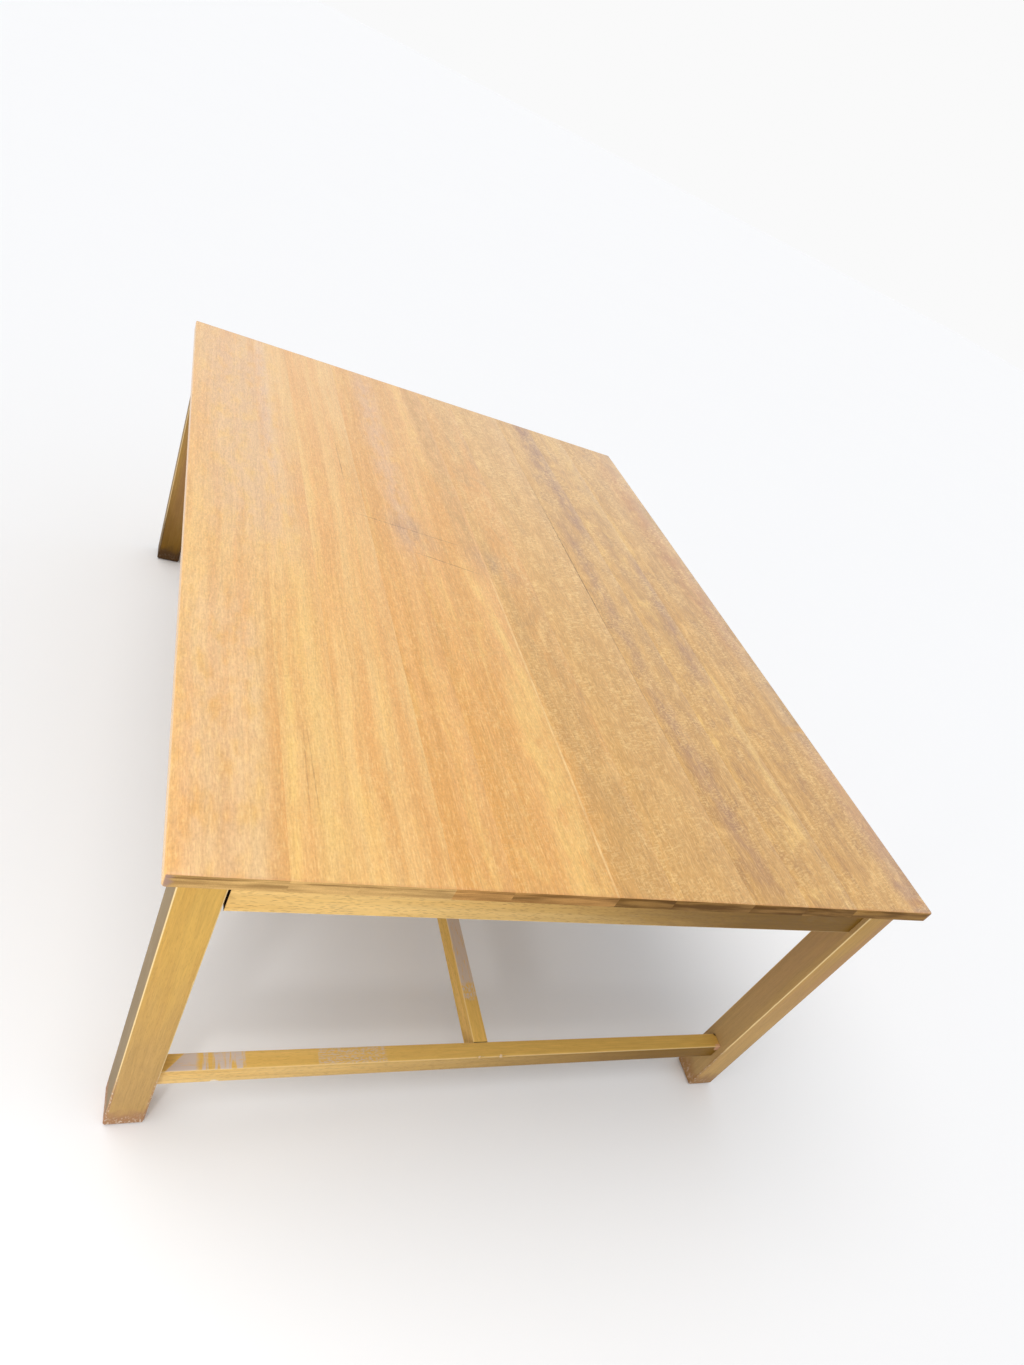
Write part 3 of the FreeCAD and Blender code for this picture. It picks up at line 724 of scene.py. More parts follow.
@dataclass(frozen=True)
class Scar:
    """A spot at one long edge of a bar where another colour shows: a knock, a stain, or painted shade at a
    joint.
    """

    colour: Colour
    corner: int
    place: float
    radius: float
    strength: float = 0.85
    drop: float = 0.0

    def lay(self, wood: WoodShader, colour: Wire, bar: Beech) -> Wire:
        """Lay the spot over a colour.

        Args:
            wood: The tree of the bar's material.
            colour: The colour so far.
            bar: The finish of the bar.

        Returns:
            The colour with the spot.
        """
        side, level = corner_place(bar.bounds, CORNER_SIGNS[self.corner])
        middle = (self.place, side, level - self.drop)
        along, across, up = (wood.place[axis] - part for axis, part in zip(bar.grain.value, middle))
        reach = wood.maths("SQRT", along * along + across * across + up * up)
        ragged = reach + wood.sway(wood.fibres(SCAR_EDGE), self.radius)
        share = wood.step(ragged, self.radius, SCAR_SOLID_SHARE * self.radius)
        return wood.mix(colour, self.colour, share * self.strength)


@dataclass(frozen=True)
class Beech:
    """The finish of one bar of the frame."""

    name: str
    grain: Grain
    main: BeechTone
    second: BeechTone
    seed: float
    bounds: Bounds
    worn: float = 0.6
    flecking: float = 0.45
    foot: Foot | None = None
    grimy_front: float = 0.0
    shading: BeechTone = BeechTone.WALNUT
    darkening: Span | None = None
    patches: tuple[Patch, ...] = ()
    scars: tuple[Scar, ...] = ()
    joints: Span | None = None

    def material(self) -> bpy.types.Material:
        """Make the bar's material.

        Returns:
            The material.
        """
        wood = WoodShader(f"beech_{self.name}", self.grain, self.seed)
        lines = wood.fibres(BEECH_LINES)
        fibre = wood.fibres(BEECH_FIBRE)
        mottle = wood.fibres(BEECH_MOTTLE)
        dashes = wood.dashes(BEECH_DASHES, BEECH_DASH_SIZE)
        # painted shade: faces that look towards -Y are greyed and darkened, with duller lacquer
        grimy = wood.step(wood.facing["y"], *FRONT_FACING) * self.grimy_front
        arris = self.arris_share(wood)

        stripes = wood.step(wood.fibres(BEECH_STRIPES), *BEECH_STRIPE_EDGE)
        colour = wood.mix(self.main.value, self.second.value, stripes)
        # painted shade: the piece darkens towards its shading tone from one place along it to another
        if self.darkening:
            place = wood.place[self.grain.value[0]] + wood.sway(wood.fibres(DARKENING_EDGE), DARKENING_REACH)
            colour = wood.mix(colour, self.shading.value, wood.step(place, *self.darkening))
        colour = wood.shade(colour, 1.34 - 0.36 * lines - 0.32 * fibre)
        colour = wood.shade(colour, 0.86 + 0.28 * mottle)
        colour = wood.mix(colour, BEECH_FLECK, dashes * self.flecking)
        colour = wood.mix(colour, GRIME, wood.step(mottle, *GRIME_EDGE) * GRIME_SHARE)
        # painted shade laid over the -Y side faces
        colour = wood.mix(colour, wood.shade(GRIME, 1.3 - 0.6 * mottle), grimy)
        # the rubbed edges get a pale tone that is also a painted highlight
        colour = wood.mix(colour, BARE_ARRIS, arris * self.worn)
        if self.foot:
            colour = self.foot.lay(wood, colour, self.arris_share(wood, self.foot.arris_width))
        if self.patches:
            colour = self.dress_patches(wood, colour)
        for scar in self.scars:
            colour = scar.lay(wood, colour, self)
        if self.joints:
            colour = self.dress_joints(wood, colour, *self.joints)
        colour = wood.shade(colour, 1.0 - 0.30 * wood.end_grain)

        roughness = 0.50 + 0.16 * mottle + 0.15 * arris + 0.2 * grimy
        relief = 0.5 * lines - 0.4 * dashes
        lacquer = (0.08 - 0.05 * mottle) * (1 - grimy)
        return wood.surface(colour, roughness, relief, BEECH_RELIEF,
                            gloss=0.15, coat=lacquer, coat_roughness=0.25)

    def arris_share(self, wood: WoodShader, width: float = 1.0) -> Wire:
        """Where the lacquer is rubbed off the long edges of the bar, which also carry a painted highlight.

        Args:
            wood: The tree of the bar's material.
            width: How much wider than usual the wear is.

        Returns:
            1 on the worn edges and 0 elsewhere.
        """
        inside = []
        for axis, low, high in zip(self.grain.value[1:], self.bounds[::2], self.bounds[1::2]):
            inside.append(0.5 * (high - low) - abs(wood.place[axis] - 0.5 * (low + high)))
        depth = wood.maths("MAXIMUM", *inside)
        line = wood.step(depth, *(width * limit for limit in ARRIS_LINE))
        reach = (wood.fibres(ARRIS_STRETCHES) - ARRIS_UNWORN) * (width * ARRIS_REACH)
        deeper = wood.step(depth - reach, *(width * limit for limit in ARRIS_DEEPER))
        return wood.maths("MAXIMUM", line, deeper)

    def dress_patches(self, wood: WoodShader, colour: Wire) -> Wire:
        """Paint the bar's upper face lighter, as if lit from above, and paint a pale sheen over worn lacquer
        along some stretches.

        Args:
            wood: The tree of the bar's material.
            colour: The colour so far.

        Returns:
            The colour with its worn patches.
        """
        along, across = (wood.place[axis] for axis in self.grain.value[:2])
        ragged = along + wood.sway(wood.fibres(PATCH_EDGE), PATCH_EDGE_REACH)
        upward = wood.step(wood.facing["z"], *BAR_UP_FACING)
        scratches = wood.step(wood.fibres(PATCH_SCRATCHES), *PATCH_SCRATCH_EDGE)
        # painted light: the upward faces are made lighter and yellower
        pale = wood.shade(UPPER_FACE, 1.25 - 0.5 * wood.fibres(UPPER_LINES))
        colour = wood.mix(colour, pale, upward * UPPER_SHARE)
        for patch in self.patches:
            spots = wood.step(wood.fibres(patch.bloom.value), *PATCH_SPOT_EDGE)
            solid = wood.below(ragged, patch.solid_to, PATCH_SOLID_SOFT)
            cover = wood.maths("MAXIMUM", solid, spots) * (1 - PATCH_SCRATCH_SHARE * scratches)
            slanted = along + patch.slant * (across - self.bounds[1])
            begun = wood.step(slanted, patch.start, patch.start + PATCH_START_EDGE)
            share = begun * wood.below(ragged, patch.end, PATCH_END_SOFT) * cover * upward
            # painted sheen laid over the worn lacquer
            colour = wood.mix(colour, WORN_LACQUER, share * patch.strength)
        return colour

    def dress_joints(self, wood: WoodShader, colour: Wire, start: float, end: float) -> Wire:
        """Paint shade over what lies inside the joints at the bar's ends.

        Args:
            wood: The tree of the bar's material.
            colour: The colour so far.
            start: Where the bar comes out of one joint.
            end: Where it goes into the other.

        Returns:
            The colour with its tenons in painted shade.
        """
        place = wood.place[self.grain.value[0]]
        inside = wood.maths("MAXIMUM", wood.step(place, start + JOINT_EDGE, start),
                            wood.step(place, end - JOINT_EDGE, end))
        return wood.mix(colour, JOINT_DARK, inside)


# Sawn wood and plated steel

SAWN_PALE = tone(198, 164, 116)
SAWN_BROWN = tone(178, 138, 92)
SAWN_STRIPES = Pattern(1.5, 30.0)
SAWN_STRIPE_EDGE = (0.35, 0.65)
SAWN_LINES = Pattern(5.0, 260.0, 3.0)
SAW_MARKS = Pattern(420.0, 4.0, 1.0)
SAWN_DASHES = Pattern(80.0, 360.0)
SAWN_DASH_SIZE = 0.32
SAWN_DASH_SHARE = 0.35
SAWN_RELIEF = 0.3 * MM

ZINC_BRIGHT = tone(178, 176, 168)
ZINC_DULL = tone(150, 142, 120)
ZINC_RUST = tone(96, 74, 54)
ZINC_BLOOM_WAVES = (180.0, 180.0, 180.0)
ZINC_BLOOM_EDGE = (0.35, 0.65)
ZINC_RUST_WAVES = (700.0, 700.0, 700.0)
ZINC_RUST_EDGE = (0.60, 0.72)
ZINC_RUST_SHARE = 0.6
ZINC_RELIEF = 0.05 * MM


@dataclass(frozen=True)
class RawWood:
    """The finish of a piece of sawn, unlacquered wood inside the frame."""

    node: str
    grain: Grain
    seed: float

    def material(self) -> bpy.types.Material:
        """Make the material, with saw marks across the fibres.

        Returns:
            The material.
        """
        wood = WoodShader(f"raw_{self.node}", self.grain, self.seed)
        lines = wood.fibres(SAWN_LINES)
        dashes = wood.dashes(SAWN_DASHES, SAWN_DASH_SIZE)
        colour = wood.mix(SAWN_PALE, SAWN_BROWN, wood.step(wood.fibres(SAWN_STRIPES), *SAWN_STRIPE_EDGE))
        colour = wood.shade(colour, 1.14 - 0.28 * lines)
        colour = wood.mix(colour, BEECH_FLECK, dashes * SAWN_DASH_SHARE)
        colour = wood.shade(colour, 1.0 - 0.25 * wood.end_grain)
        relief = 0.5 * lines + 0.5 * wood.fibres(SAW_MARKS)
        return wood.surface(colour, 0.66 + 0.14 * lines, relief, SAWN_RELIEF)

    def dress(self) -> None:
        """Give the solid its material."""
        dress(self.node, self.material())


@dataclass(frozen=True)
class Zinc:
    """The finish of the plated steel fixings."""

    name: str

    def material(self) -> bpy.types.Material:
        """Make the material, dulled and spotted with age.

        Returns:
            The material.
        """
        metal = Shader(f"zinc_{self.name}")
        bloom = metal.spots(ZINC_BLOOM_WAVES, 3.0)
        rust = metal.step(metal.spots(ZINC_RUST_WAVES), *ZINC_RUST_EDGE)
        colour = metal.mix(ZINC_BRIGHT, ZINC_DULL, metal.step(bloom, *ZINC_BLOOM_EDGE))
        colour = metal.mix(colour, ZINC_RUST, rust * ZINC_RUST_SHARE)
        roughness = 0.30 + 0.25 * bloom + 0.2 * rust
        return metal.surface(colour, roughness, bloom - rust, ZINC_RELIEF, metallic=0.9)


# Meshes

class Slot(Enum):
    """The record's slots of the finishes of new pieces."""

    TOP_WOOD = "top_wood"
    FRAME_WOOD = "frame_wood"
    STEEL = "steel"


class Loft:
    """A mesh made of rings of points."""

    def __init__(self) -> None:
        """Start with no points."""
        self.points: list[Vector] = []
        self.faces: list[tuple[int, ...]] = []

    def add(self, rings: Sequence[Sequence[Vector]], looped: bool = False) -> Loft:
        """Join equal rings by strips of faces.

        Args:
            rings: The rings in order.
            looped: Whether the last ring joins the first, instead of a cap at each end.

        Returns:
            This mesh, with the strips added.
        """
        first = len(self.points)
        count = len(rings[0])
        for ring in rings:
            self.points.extend(ring)
        for number in range(len(rings) if looped else len(rings) - 1):
            low = first + number * count
            high = first + (number + 1) % len(rings) * count
            for step in range(count):
                following = (step + 1) % count
                self.faces.append((low + step, low + following, high + following, high + step))
        if not looped:
            last = first + (len(rings) - 1) * count
            self.faces.append(tuple(reversed(range(first, first + count))))
            self.faces.append(tuple(range(last, last + count)))
        return self

    def piece(self, name: str, node: str, slot: Slot, material: bpy.types.Material) -> None:
        """Make the mesh into a piece that stands for a solid.

        Args:
            name: The piece's name.
            node: The solid that it stands for.
            slot: Not used.
            material: Its material.
        """
        mesh = bpy.data.meshes.new(name)
        mesh.from_pydata(self.points, [], self.faces)
        shape = bmesh.new()
        shape.from_mesh(mesh)
        bmesh.ops.recalc_face_normals(shape, faces=shape.faces)
        shape.to_mesh(mesh)
        shape.free()
        mesh.shade_smooth()
        mesh.set_sharp_from_angle(angle=SHARP_ANGLE)
        mesh.materials.append(material)
        piece = bpy.data.objects.new(name, mesh)
        bpy.context.scene.collection.objects.link(piece)
        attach(piece, BODY)
        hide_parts(node)
        LOG.info("built %s with %d faces in place of %s", name, len(mesh.polygons), node)


@dataclass(frozen=True)
class RimPoint:
    """One point of a bar's section, with the corner it belongs to and its share of that corner's wear."""

    a: float
    b: float
    corner: int
    arris: float


@dataclass(frozen=True)
class Section:
    """A rectangle across a bar with rounded corners, counted from its high sides."""

    radii: tuple[float, ...]
    corner_steps: int = 4
    side_steps: int = 4

    def outline(self, bounds: Bounds) -> list[RimPoint]:
        """The points round the section.

        Args:
            bounds: The low and high sides across the bar, then through it.

        Returns:
            The points in order, as many for any bounds.
        """
        arcs: list[list[RimPoint]] = []
        for corner, (radius, signs) in enumerate(zip(self.radii, CORNER_SIGNS)):
            edge_a, edge_b = corner_place(bounds, signs)
            centre_a, centre_b = edge_a - signs[0] * radius, edge_b - signs[1] * radius
            arc = []
            for step in range(self.corner_steps + 1):
                share = step / self.corner_steps
                angle = (corner + share) * TURN / 4
                arc.append(RimPoint(centre_a + radius * math.cos(angle), centre_b + radius * math.sin(angle),
                                    corner, math.sin(math.pi * share)))
            arcs.append(arc)
        rim: list[RimPoint] = []
        for arc, following in zip(arcs, arcs[1:] + arcs[:1]):
            rim.extend(arc)
            rim.extend(self.side(arc[-1], following[0]))
        return rim

    def side(self, start: RimPoint, end: RimPoint) -> Iterator[RimPoint]:
        """The points along a flat side, between two corners.

        Args:
            start: The last point of one corner.
            end: The first point of the next.

        Returns:
            The points in order.
        """
        for step in range(1, self.side_steps):
            share = step / self.side_steps
            a = start.a + (end.a - start.a) * share
            b = start.b + (end.b - start.b) * share
            yield RimPoint(a, b, start.corner, 0.0)


def roll_off(distance: float, radius: float) -> float:
    """How far a rounded edge lies inside its corner, at a distance from the end."""
    short = max(radius - distance, 0.0)
    return radius - math.sqrt(radius * radius - short * short)


def spaced(start: float, end: float, spacing: float) -> list[float]:
    """Places from a start to an end, evenly and about a spacing apart."""
    count = max(2, round((end - start) / spacing))
    return [start + (end - start) * step / count for step in range(count + 1)]


@dataclass(frozen=True)
class Ripple:
    """Smooth random wear along an edge, by its waves in a metre and its place in the noise."""

    waves: float
    corner_shift: float
    layer: float

    def at(self, place: float, corner: int, seed: float) -> float:
        """The wear at a place along an edge, from about -1 to 1."""
        return noise.noise(Vector((place * self.waves, self.corner_shift * corner + seed, self.layer)))


@dataclass(frozen=True)
class Chip:
    """A bite out of one long edge of a bar."""

    corner: int
    place: float
    half_length: float
    depth: float


@dataclass
class WornBar:
    """A wooden bar whose long edges are worn unevenly."""

    grain: Grain
    section: Section
    bounds: Bounds
    start: float
    end: float
    seed: float
    wear: float
    chips: tuple[Chip, ...] = ()
    spacing: float = 12 * MM
    end_steps: tuple[float, ...] = (0.0,)
    rough: Ripple = Ripple(22.0, 9.1, 3.7)
    rough_share: float = 0.6
    broad: Ripple = Ripple(4.0, 5.3, 8.2)
    even_share: float = 0.35

    def stations(self) -> list[float]:
        """The places of the rings along the bar, closer at its ends.

        Returns:
            The places in order.
        """
        near = [self.start + step for step in self.end_steps]
        far = [self.end - step for step in reversed(self.end_steps)]
        return near[:-1] + spaced(near[-1], far[0], self.spacing) + far[1:]

    def bounds_at(self, place: float) -> Bounds:
        """The sides of the bar at a place along it."""
        return self.bounds

    def bite(self, corner: int, place: float) -> float:
        """How much of an edge is gone.

        Args:
            corner: Which edge.
            place: A place along it.

        Returns:
            The depth of the wear there.
        """
        broad, rough = (ripple.at(place, corner, self.seed) for ripple in (self.broad, self.rough))
        uneven = max(0.0, broad + self.rough_share * rough)
        gone = self.wear * (self.even_share + (1 - self.even_share) * uneven)
        for chip in self.chips:
            if chip.corner == corner:
                off = (place - chip.place) / chip.half_length
                gone = max(gone, chip.depth * max(0.0, 1.0 - off * off))
        return gone

    def shape(self, place: float, a: float, b: float) -> Point:
        """Cut a point of the section back to a further plane, where the bar has one."""
        return a, b

    def at(self, place: float, a: float, b: float) -> Vector:
        """A point of the bar in the table's own axes."""
        parts = dict(zip(self.grain.value, (place, a, b)))
        return Vector((parts["x"], parts["y"], parts["z"]))

    def ring(self, place: float) -> list[Vector]:
        """The worn section of the bar.

        Args:
            place: A place along it.

        Returns:
            The points round the section.
        """
        points = []
        for rim in self.section.outline(self.bounds_at(place)):
            sign_a, sign_b = CORNER_SIGNS[rim.corner]
            gone = rim.arris * self.bite(rim.corner, place) / math.sqrt(2) if rim.arris else 0.0
            points.append(self.at(place, *self.shape(place, rim.a - sign_a * gone, rim.b - sign_b * gone)))
        return points

    def rings(self) -> list[list[Vector]]:
        """Every section of the bar in order."""
        return [self.ring(place) for place in self.stations()]


@dataclass
class WornLeg(WornBar):
    """A leg with a scuffed foot and a flat for its bolt inside the top corner."""

    bevel: float = 16 * MM
    bevel_from: float = 0.0
    bevel_edge: float = 0.1 * MM
    inward: Point = (1.0, 1.0)
    foot_radius: float = 7 * MM
    foot_shares: tuple[float, ...] = (0.0, 0.15, 0.35, 0.65, 1.0)
    foot_reach: float = 60 * MM
    knocks: Ripple = Ripple(120.0, 4.4, 1.9)
    knock_share: float = 1.6

    def stations(self) -> list[float]:
        """The places of the rings, closer at the foot and at the lower end of the flat.

        Returns:
            The heights in order.
        """
        foot = [self.start + self.foot_radius * share for share in self.foot_shares]
        shaft = spaced(self.start + 2 * self.foot_radius, self.bevel_from - self.bevel_edge, self.spacing)
        return foot + shaft + spaced(self.bevel_from + self.bevel_edge, self.end, self.spacing)

    def bounds_at(self, place: float) -> Bounds:
        """The sides of the leg, drawn in at its rounded foot.

        Args:
            place: A height.

        Returns:
            The sides at that height.
        """
        inset = roll_off(place - self.start, self.foot_radius)
        low_a, high_a, low_b, high_b = self.bounds
        return low_a + inset, high_a - inset, low_b + inset, high_b - inset

    def bite(self, corner: int, place: float) -> float:
        """How much of an edge is gone, with more near the floor.

        Args:
            corner: Which edge.
            place: A height.

        Returns:
            The depth of the wear there.
        """
        knocks = abs(self.knocks.at(place, corner, self.seed))
        low = max(0.0, 1.0 - (place - self.start) / self.foot_reach)
        return super().bite(corner, place) + low * self.wear * (1.0 + self.knock_share * knocks)

    def shape(self, place: float, a: float, b: float) -> Point:
        """Cut the inside corner back to the bolt's flat.

        Args:
            place: A height.
            a: The point's place across the leg.
            b: The point's place through it.

        Returns:
            The point, moved back to the flat where it stood past it.
        """
        if place < self.bevel_from:
            return a, b
        sign_a, sign_b = self.inward
        corner_a, corner_b = corner_place(self.bounds, self.inward)
        past = self.bevel - sign_a * (corner_a - a) - sign_b * (corner_b - b)
        cut = max(0.0, 0.5 * past)
        return a - sign_a * cut, b - sign_b * cut


@dataclass
class WornBoard(WornBar):
    """A board of the top with rounded ends, and a rounded side where it lies at the table's edge."""

    end_radius: float = 2 * MM
    under_bevel: float = 1.5 * MM
    corner_radius: float = 6 * MM
    outer: int = 0
    open_side: int = 0
    gap: float = 0.3 * MM
    gap_ends: Span = (-0.28, 0.10)
    gap_taper: float = 0.15
    dent_waves: float = 3.0
    dent_layer: float = 0.5

    def bounds_at(self, place: float) -> Bounds:
        """The sides of the board, drawn in at its ends and at the ends of the open seam.

        Args:
            place: A place along the board.

        Returns:
            The sides there.
        """
        low_a, high_a, low_b, high_b = self.bounds
        distance = min(place - self.start, self.end - place)
        corner = roll_off(distance, self.corner_radius)
        beyond = max(self.gap_ends[0] - place, place - self.gap_ends[1], 0.0)
        closing = self.gap * min(1.0, beyond / self.gap_taper)
        low_a += corner * (self.outer < 0) - closing * (self.open_side < 0)
        high_a -= corner * (self.outer > 0) - closing * (self.open_side > 0)
        dent = max(0.0, noise.noise(Vector((self.seed, place * self.dent_waves, self.dent_layer))))
        over = roll_off(distance, self.end_radius + self.wear * dent)
        under = max(self.under_bevel - distance, 0.0)
        return low_a, high_a, low_b + under, high_b - over

    def bite(self, corner: int, place: float) -> float:
        """How much of an edge is gone: only an edge on the outside of the top is worn."""
        return super().bite(corner, place) if CORNER_SIGNS[corner][0] == self.outer else 0.0


def polar(radius: float, angle: float, height: float) -> Vector:
    """A point at a radius, an angle and a height about an upright axis."""
    return Vector((radius * math.cos(angle), radius * math.sin(angle), height))


def turned(profile: Sequence[Point], steps: int, stand: Matrix) -> list[list[Vector]]:
    """The rings of a profile turned about an axis.

    Args:
        profile: Radius and height of each ring.
        steps: How many points a ring has.
        stand: Where the axis stands.

    Returns:
        The rings in order.
    """
    angles = [TURN * step / steps for step in range(steps)]
    return [[stand @ polar(radius, angle, height) for angle in angles] for radius, height in profile]


def axis_frame(origin: Vector, direction: Vector) -> Matrix:
    """A frame at a point whose Z runs along a direction."""
    turn = direction.to_track_quat("Z", "Y").to_matrix().to_4x4()
    return Matrix.Translation(origin) @ turn


def islands(node: str) -> list[tuple[Vector, Vector]]:
    """The boxes of the separate copies in one solid.

    Args:
        node: The solid's name.

    Returns:
        The lowest and highest corner of each copy, sorted by their middles.
    """
    shape = bmesh.new()
    shape.from_mesh(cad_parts[node].data)
    bmesh.ops.remove_doubles(shape, verts=shape.verts, dist=WELD_DISTANCE)
    waiting = set(shape.verts)
    boxes = []
    while waiting:
        reached = [waiting.pop()]
        for vertex in reached:
            for edge in vertex.link_edges:
                following = edge.other_vert(vertex)
                if following in waiting:
                    waiting.remove(following)
                    reached.append(following)
        corners = list(zip(*(vertex.co for vertex in reached)))
        boxes.append((Vector(map(min, corners)), Vector(map(max, corners))))
    shape.free()
    return sorted(boxes, key=lambda box: tuple(round(part, SORTING_DIGITS) for part in box[0] + box[1]))


def dress(node: str, material: bpy.types.Material) -> None:
    """Give a solid that keeps its shape its material.

    Args:
        node: The solid's name.
        material: The material.
    """
    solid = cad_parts[node]
    if not solid.material_slots:
        solid.data.materials.append(None)
    for slot in solid.material_slots:
        slot.material = material
    LOG.info("dressed %s in %s", node, material.name)


def measure(node: str, grain: Grain) -> tuple[Span, Bounds]:
    """The reach of a solid along its fibres, and its sides.

    Args:
        node: The solid's name.
        grain: The way that its fibres run.

    Returns:
        Its start and end, and its low and high sides across the wood and through it.
    """
    low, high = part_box(node)
    along, across, through = ((getattr(low, axis), getattr(high, axis)) for axis in grain.value)
    return along, across + through


def between_legs() -> Span:
    """The clear room between the two legs of an end, in Y."""
    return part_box("leg_front_right")[1].y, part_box("leg_back_right")[0].y


# The top

def oak_boards() -> tuple[Oak, ...]:
    """The finishes of the ten boards.

    Returns:
        The boards from front to back: four tones, a seed, and how the stripes, streaks, mottling, ray flecks
        and dark ends of each one show.
    """
    honey, straw, apricot, amber = OakTone.HONEY, OakTone.STRAW, OakTone.APRICOT, OakTone.AMBER
    sand, tan, biscuit, umber = OakTone.SAND, OakTone.TAN, OakTone.BISCUIT, OakTone.UMBER
    return (
        Oak("top_board_01", honey, apricot, amber, straw, 1.3, 26.0, 0.20, 0.32, 0.20, 0.20),
        Oak("top_board_02", honey, apricot, amber, straw, 2.9, 30.0, 0.30, 0.32, 0.20, 0.18),
        Oak("top_board_03", honey, apricot, amber, straw, 4.1, 28.0, 0.40, 0.34, 0.22, 0.16),
        Oak("top_board_04", apricot, amber, amber, straw, 5.7, 32.0, 0.48, 0.32, 0.22, 0.24),
        Oak("top_board_05", apricot, amber, tan, straw, 7.2, 26.0, 0.45, 0.36, 0.26, 0.38),
        Oak("top_board_06", tan, amber, biscuit, honey, 8.8, 20.0, 0.24, 0.66, 0.50, 0.62),
        Oak("top_board_07", sand, tan, biscuit, honey, 10.3, 16.0, 0.24, 0.70, 0.60, 0.62),
        Oak("top_board_08", biscuit, tan, umber, honey, 11.9, 18.0, 0.26, 0.66, 0.54, 0.62),
        Oak("top_board_09", tan, biscuit, umber, straw, 13.6, 16.0, 0.34, 0.66, 0.56, 0.58),
        Oak("top_board_10", tan, biscuit, umber, honey, 15.1, 16.0, 0.34, 0.66, 0.56, 0.48),
    )


def top_marks() -> tuple[Mark, ...]:
    """The streaks in the top's wood and the marks of use on its face.

    Returns:
        The marks: colour, strength, start and end in X and Y, half width, soft edge and waver.
    """
    straw, apricot = OakTone.STRAW.value, OakTone.APRICOT.value
    amber, biscuit = OakTone.AMBER.value, OakTone.BISCUIT.value
    return (
        # pale, yellow and orange streaks
        Mark(FLECK, 0.30, (0.50, -0.612), (1.05, -0.617), 0.010, 0.008, 0.003),
        Mark(apricot, 0.45, (0.50, -0.556), (1.05, -0.562), 0.006, 0.006, 0.003),
        Mark(straw, 0.65, (0.50, -0.525), (1.00, -0.539), 0.007, 0.006, 0.003),
        Mark(straw, 0.45, (0.00, -0.495), (1.10, -0.475), 0.024, 0.016, 0.010),
        Mark(FADED, 0.55, (-1.00, -0.528), (-0.15, -0.522), 0.012, 0.008, 0.004),
        Mark(FADED, 0.35, (0.30, -0.630), (1.15, -0.630), 0.060, 0.025, 0.010),
        Mark(amber, 0.50, (-0.48, -0.338), (-0.10, -0.330), 0.014, 0.012, 0.005),
        Mark(amber, 0.40, (-1.00, -0.278), (-0.10, -0.270), 0.020, 0.014, 0.006),
        Mark(straw, 0.45, (-1.00, -0.112), (-0.38, -0.108), 0.014, 0.010, 0.005),
        Mark(straw, 0.45, (0.75, -0.425), (1.05, -0.420), 0.014, 0.012, 0.004),
        Mark(amber, 0.40, (0.68, -0.396), (0.88, -0.392), 0.010, 0.010, 0.004),
        Mark(amber, 0.55, (-0.42, -0.095), (0.15, -0.120), 0.020, 0.018, 0.008),
        Mark(straw, 0.65, (0.05, -0.093), (0.58, -0.040), 0.010, 0.010, 0.004),
        Mark(straw, 0.60, (0.45, -0.072), (1.10, -0.084), 0.032, 0.018, 0.010),
        Mark(FLECK, 0.60, (0.05, -0.0365), (1.05, -0.0365), 0.0022, 0.0015),
        Mark(straw, 0.40, (-0.95, 0.440), (-0.18, 0.506), 0.018, 0.022, 0.010),
        Mark(straw, 0.50, (0.25, 0.502), (0.75, 0.468), 0.008, 0.008, 0.004),
        # plum and reddish streaks, and grey and pink painted sheen towards the far end
        Mark(biscuit, 0.60, (-0.97, -0.060), (0.00, -0.066), 0.024, 0.008, 0.004),
        Mark(PLUM, 0.80, (-1.15, 0.338), (-0.27, 0.345), 0.026, 0.022, 0.018),
        Mark(PLUM, 0.65, (-0.30, 0.292), (0.30, 0.290), 0.016, 0.020, 0.012),
        Mark(PLUM, 0.60, (0.38, 0.285), (0.90, 0.300), 0.020, 0.024, 0.010),
        Mark(biscuit, 0.55, (0.12, 0.020), (1.15, 0.020), 0.046, 0.006),
        Mark(biscuit, 0.40, (0.22, 0.165), (1.15, 0.165), 0.070, 0.014, 0.006),
        Mark(PLUM, 0.65, (-0.18, 0.487), (0.38, 0.455), 0.016, 0.022, 0.012),
        Mark(RUST, 0.50, (-0.85, 0.636), (0.20, 0.655), 0.036, 0.036, 0.015),
        Mark(RUST, 0.45, (0.50, 0.680), (1.05, 0.690), 0.030, 0.035, 0.010),
        Mark(PLUM, 0.40, (0.70, 0.672), (1.10, 0.672), 0.035, 0.030, 0.010),
        Mark(HAZE, 0.45, (-0.95, -0.222), (0.05, -0.222), 0.030, 0.025, 0.010),
        Mark(HAZE, 0.45, (-0.95, -0.600), (0.16, -0.560), 0.090, 0.060, 0.020),
        # fine dark lines, and the dirt in the open seam
        Mark(PORE, 0.40, (0.66, -0.511), (0.84, -0.513), 0.0009, 0.0008, 0.001),
        Mark(PORE, 0.40, (0.66, -0.505), (0.84, -0.499), 0.0009, 0.0008, 0.001),
        Mark(PORE, 0.45, (-0.40, -0.352), (-0.22, -0.351), 0.0012, 0.001, 0.002),
        Mark(PORE, 0.30, (-0.76, 0.160), (-0.30, 0.160), 0.0012, 0.001, 0.002),
        Mark(SEAM_DIRT, 0.60, (-0.32, 0.245), (0.14, 0.245), 0.0012, 0.0008),
        Mark(SEAM_DIRT, 0.40, (-0.56, 0.245), (0.50, 0.245), 0.0010, 0.0008),
        Mark(SEAM_DIRT, 0.20, (-0.97, 0.245), (0.97, 0.245), 0.0010, 0.0008),
        # smudges and scratches on the face
        Mark(SMUDGE, 0.45, (-0.030, -0.040), (0.070, 0.022), 0.036, 0.045, 0.020, on_face=True),
        Mark(SMUDGE, 0.45, (-0.10, -0.225), (0.02, -0.180), 0.035, 0.035, 0.020, on_face=True),
        Mark(PORE, 0.60, (-0.065, -0.340), (-0.035, -0.100), 0.0012, 0.0010, 0.002, on_face=True),
        Mark(PORE, 0.70, (0.048, -0.205), (0.074, -0.070), 0.0012, 0.0010, 0.002, on_face=True),
    )


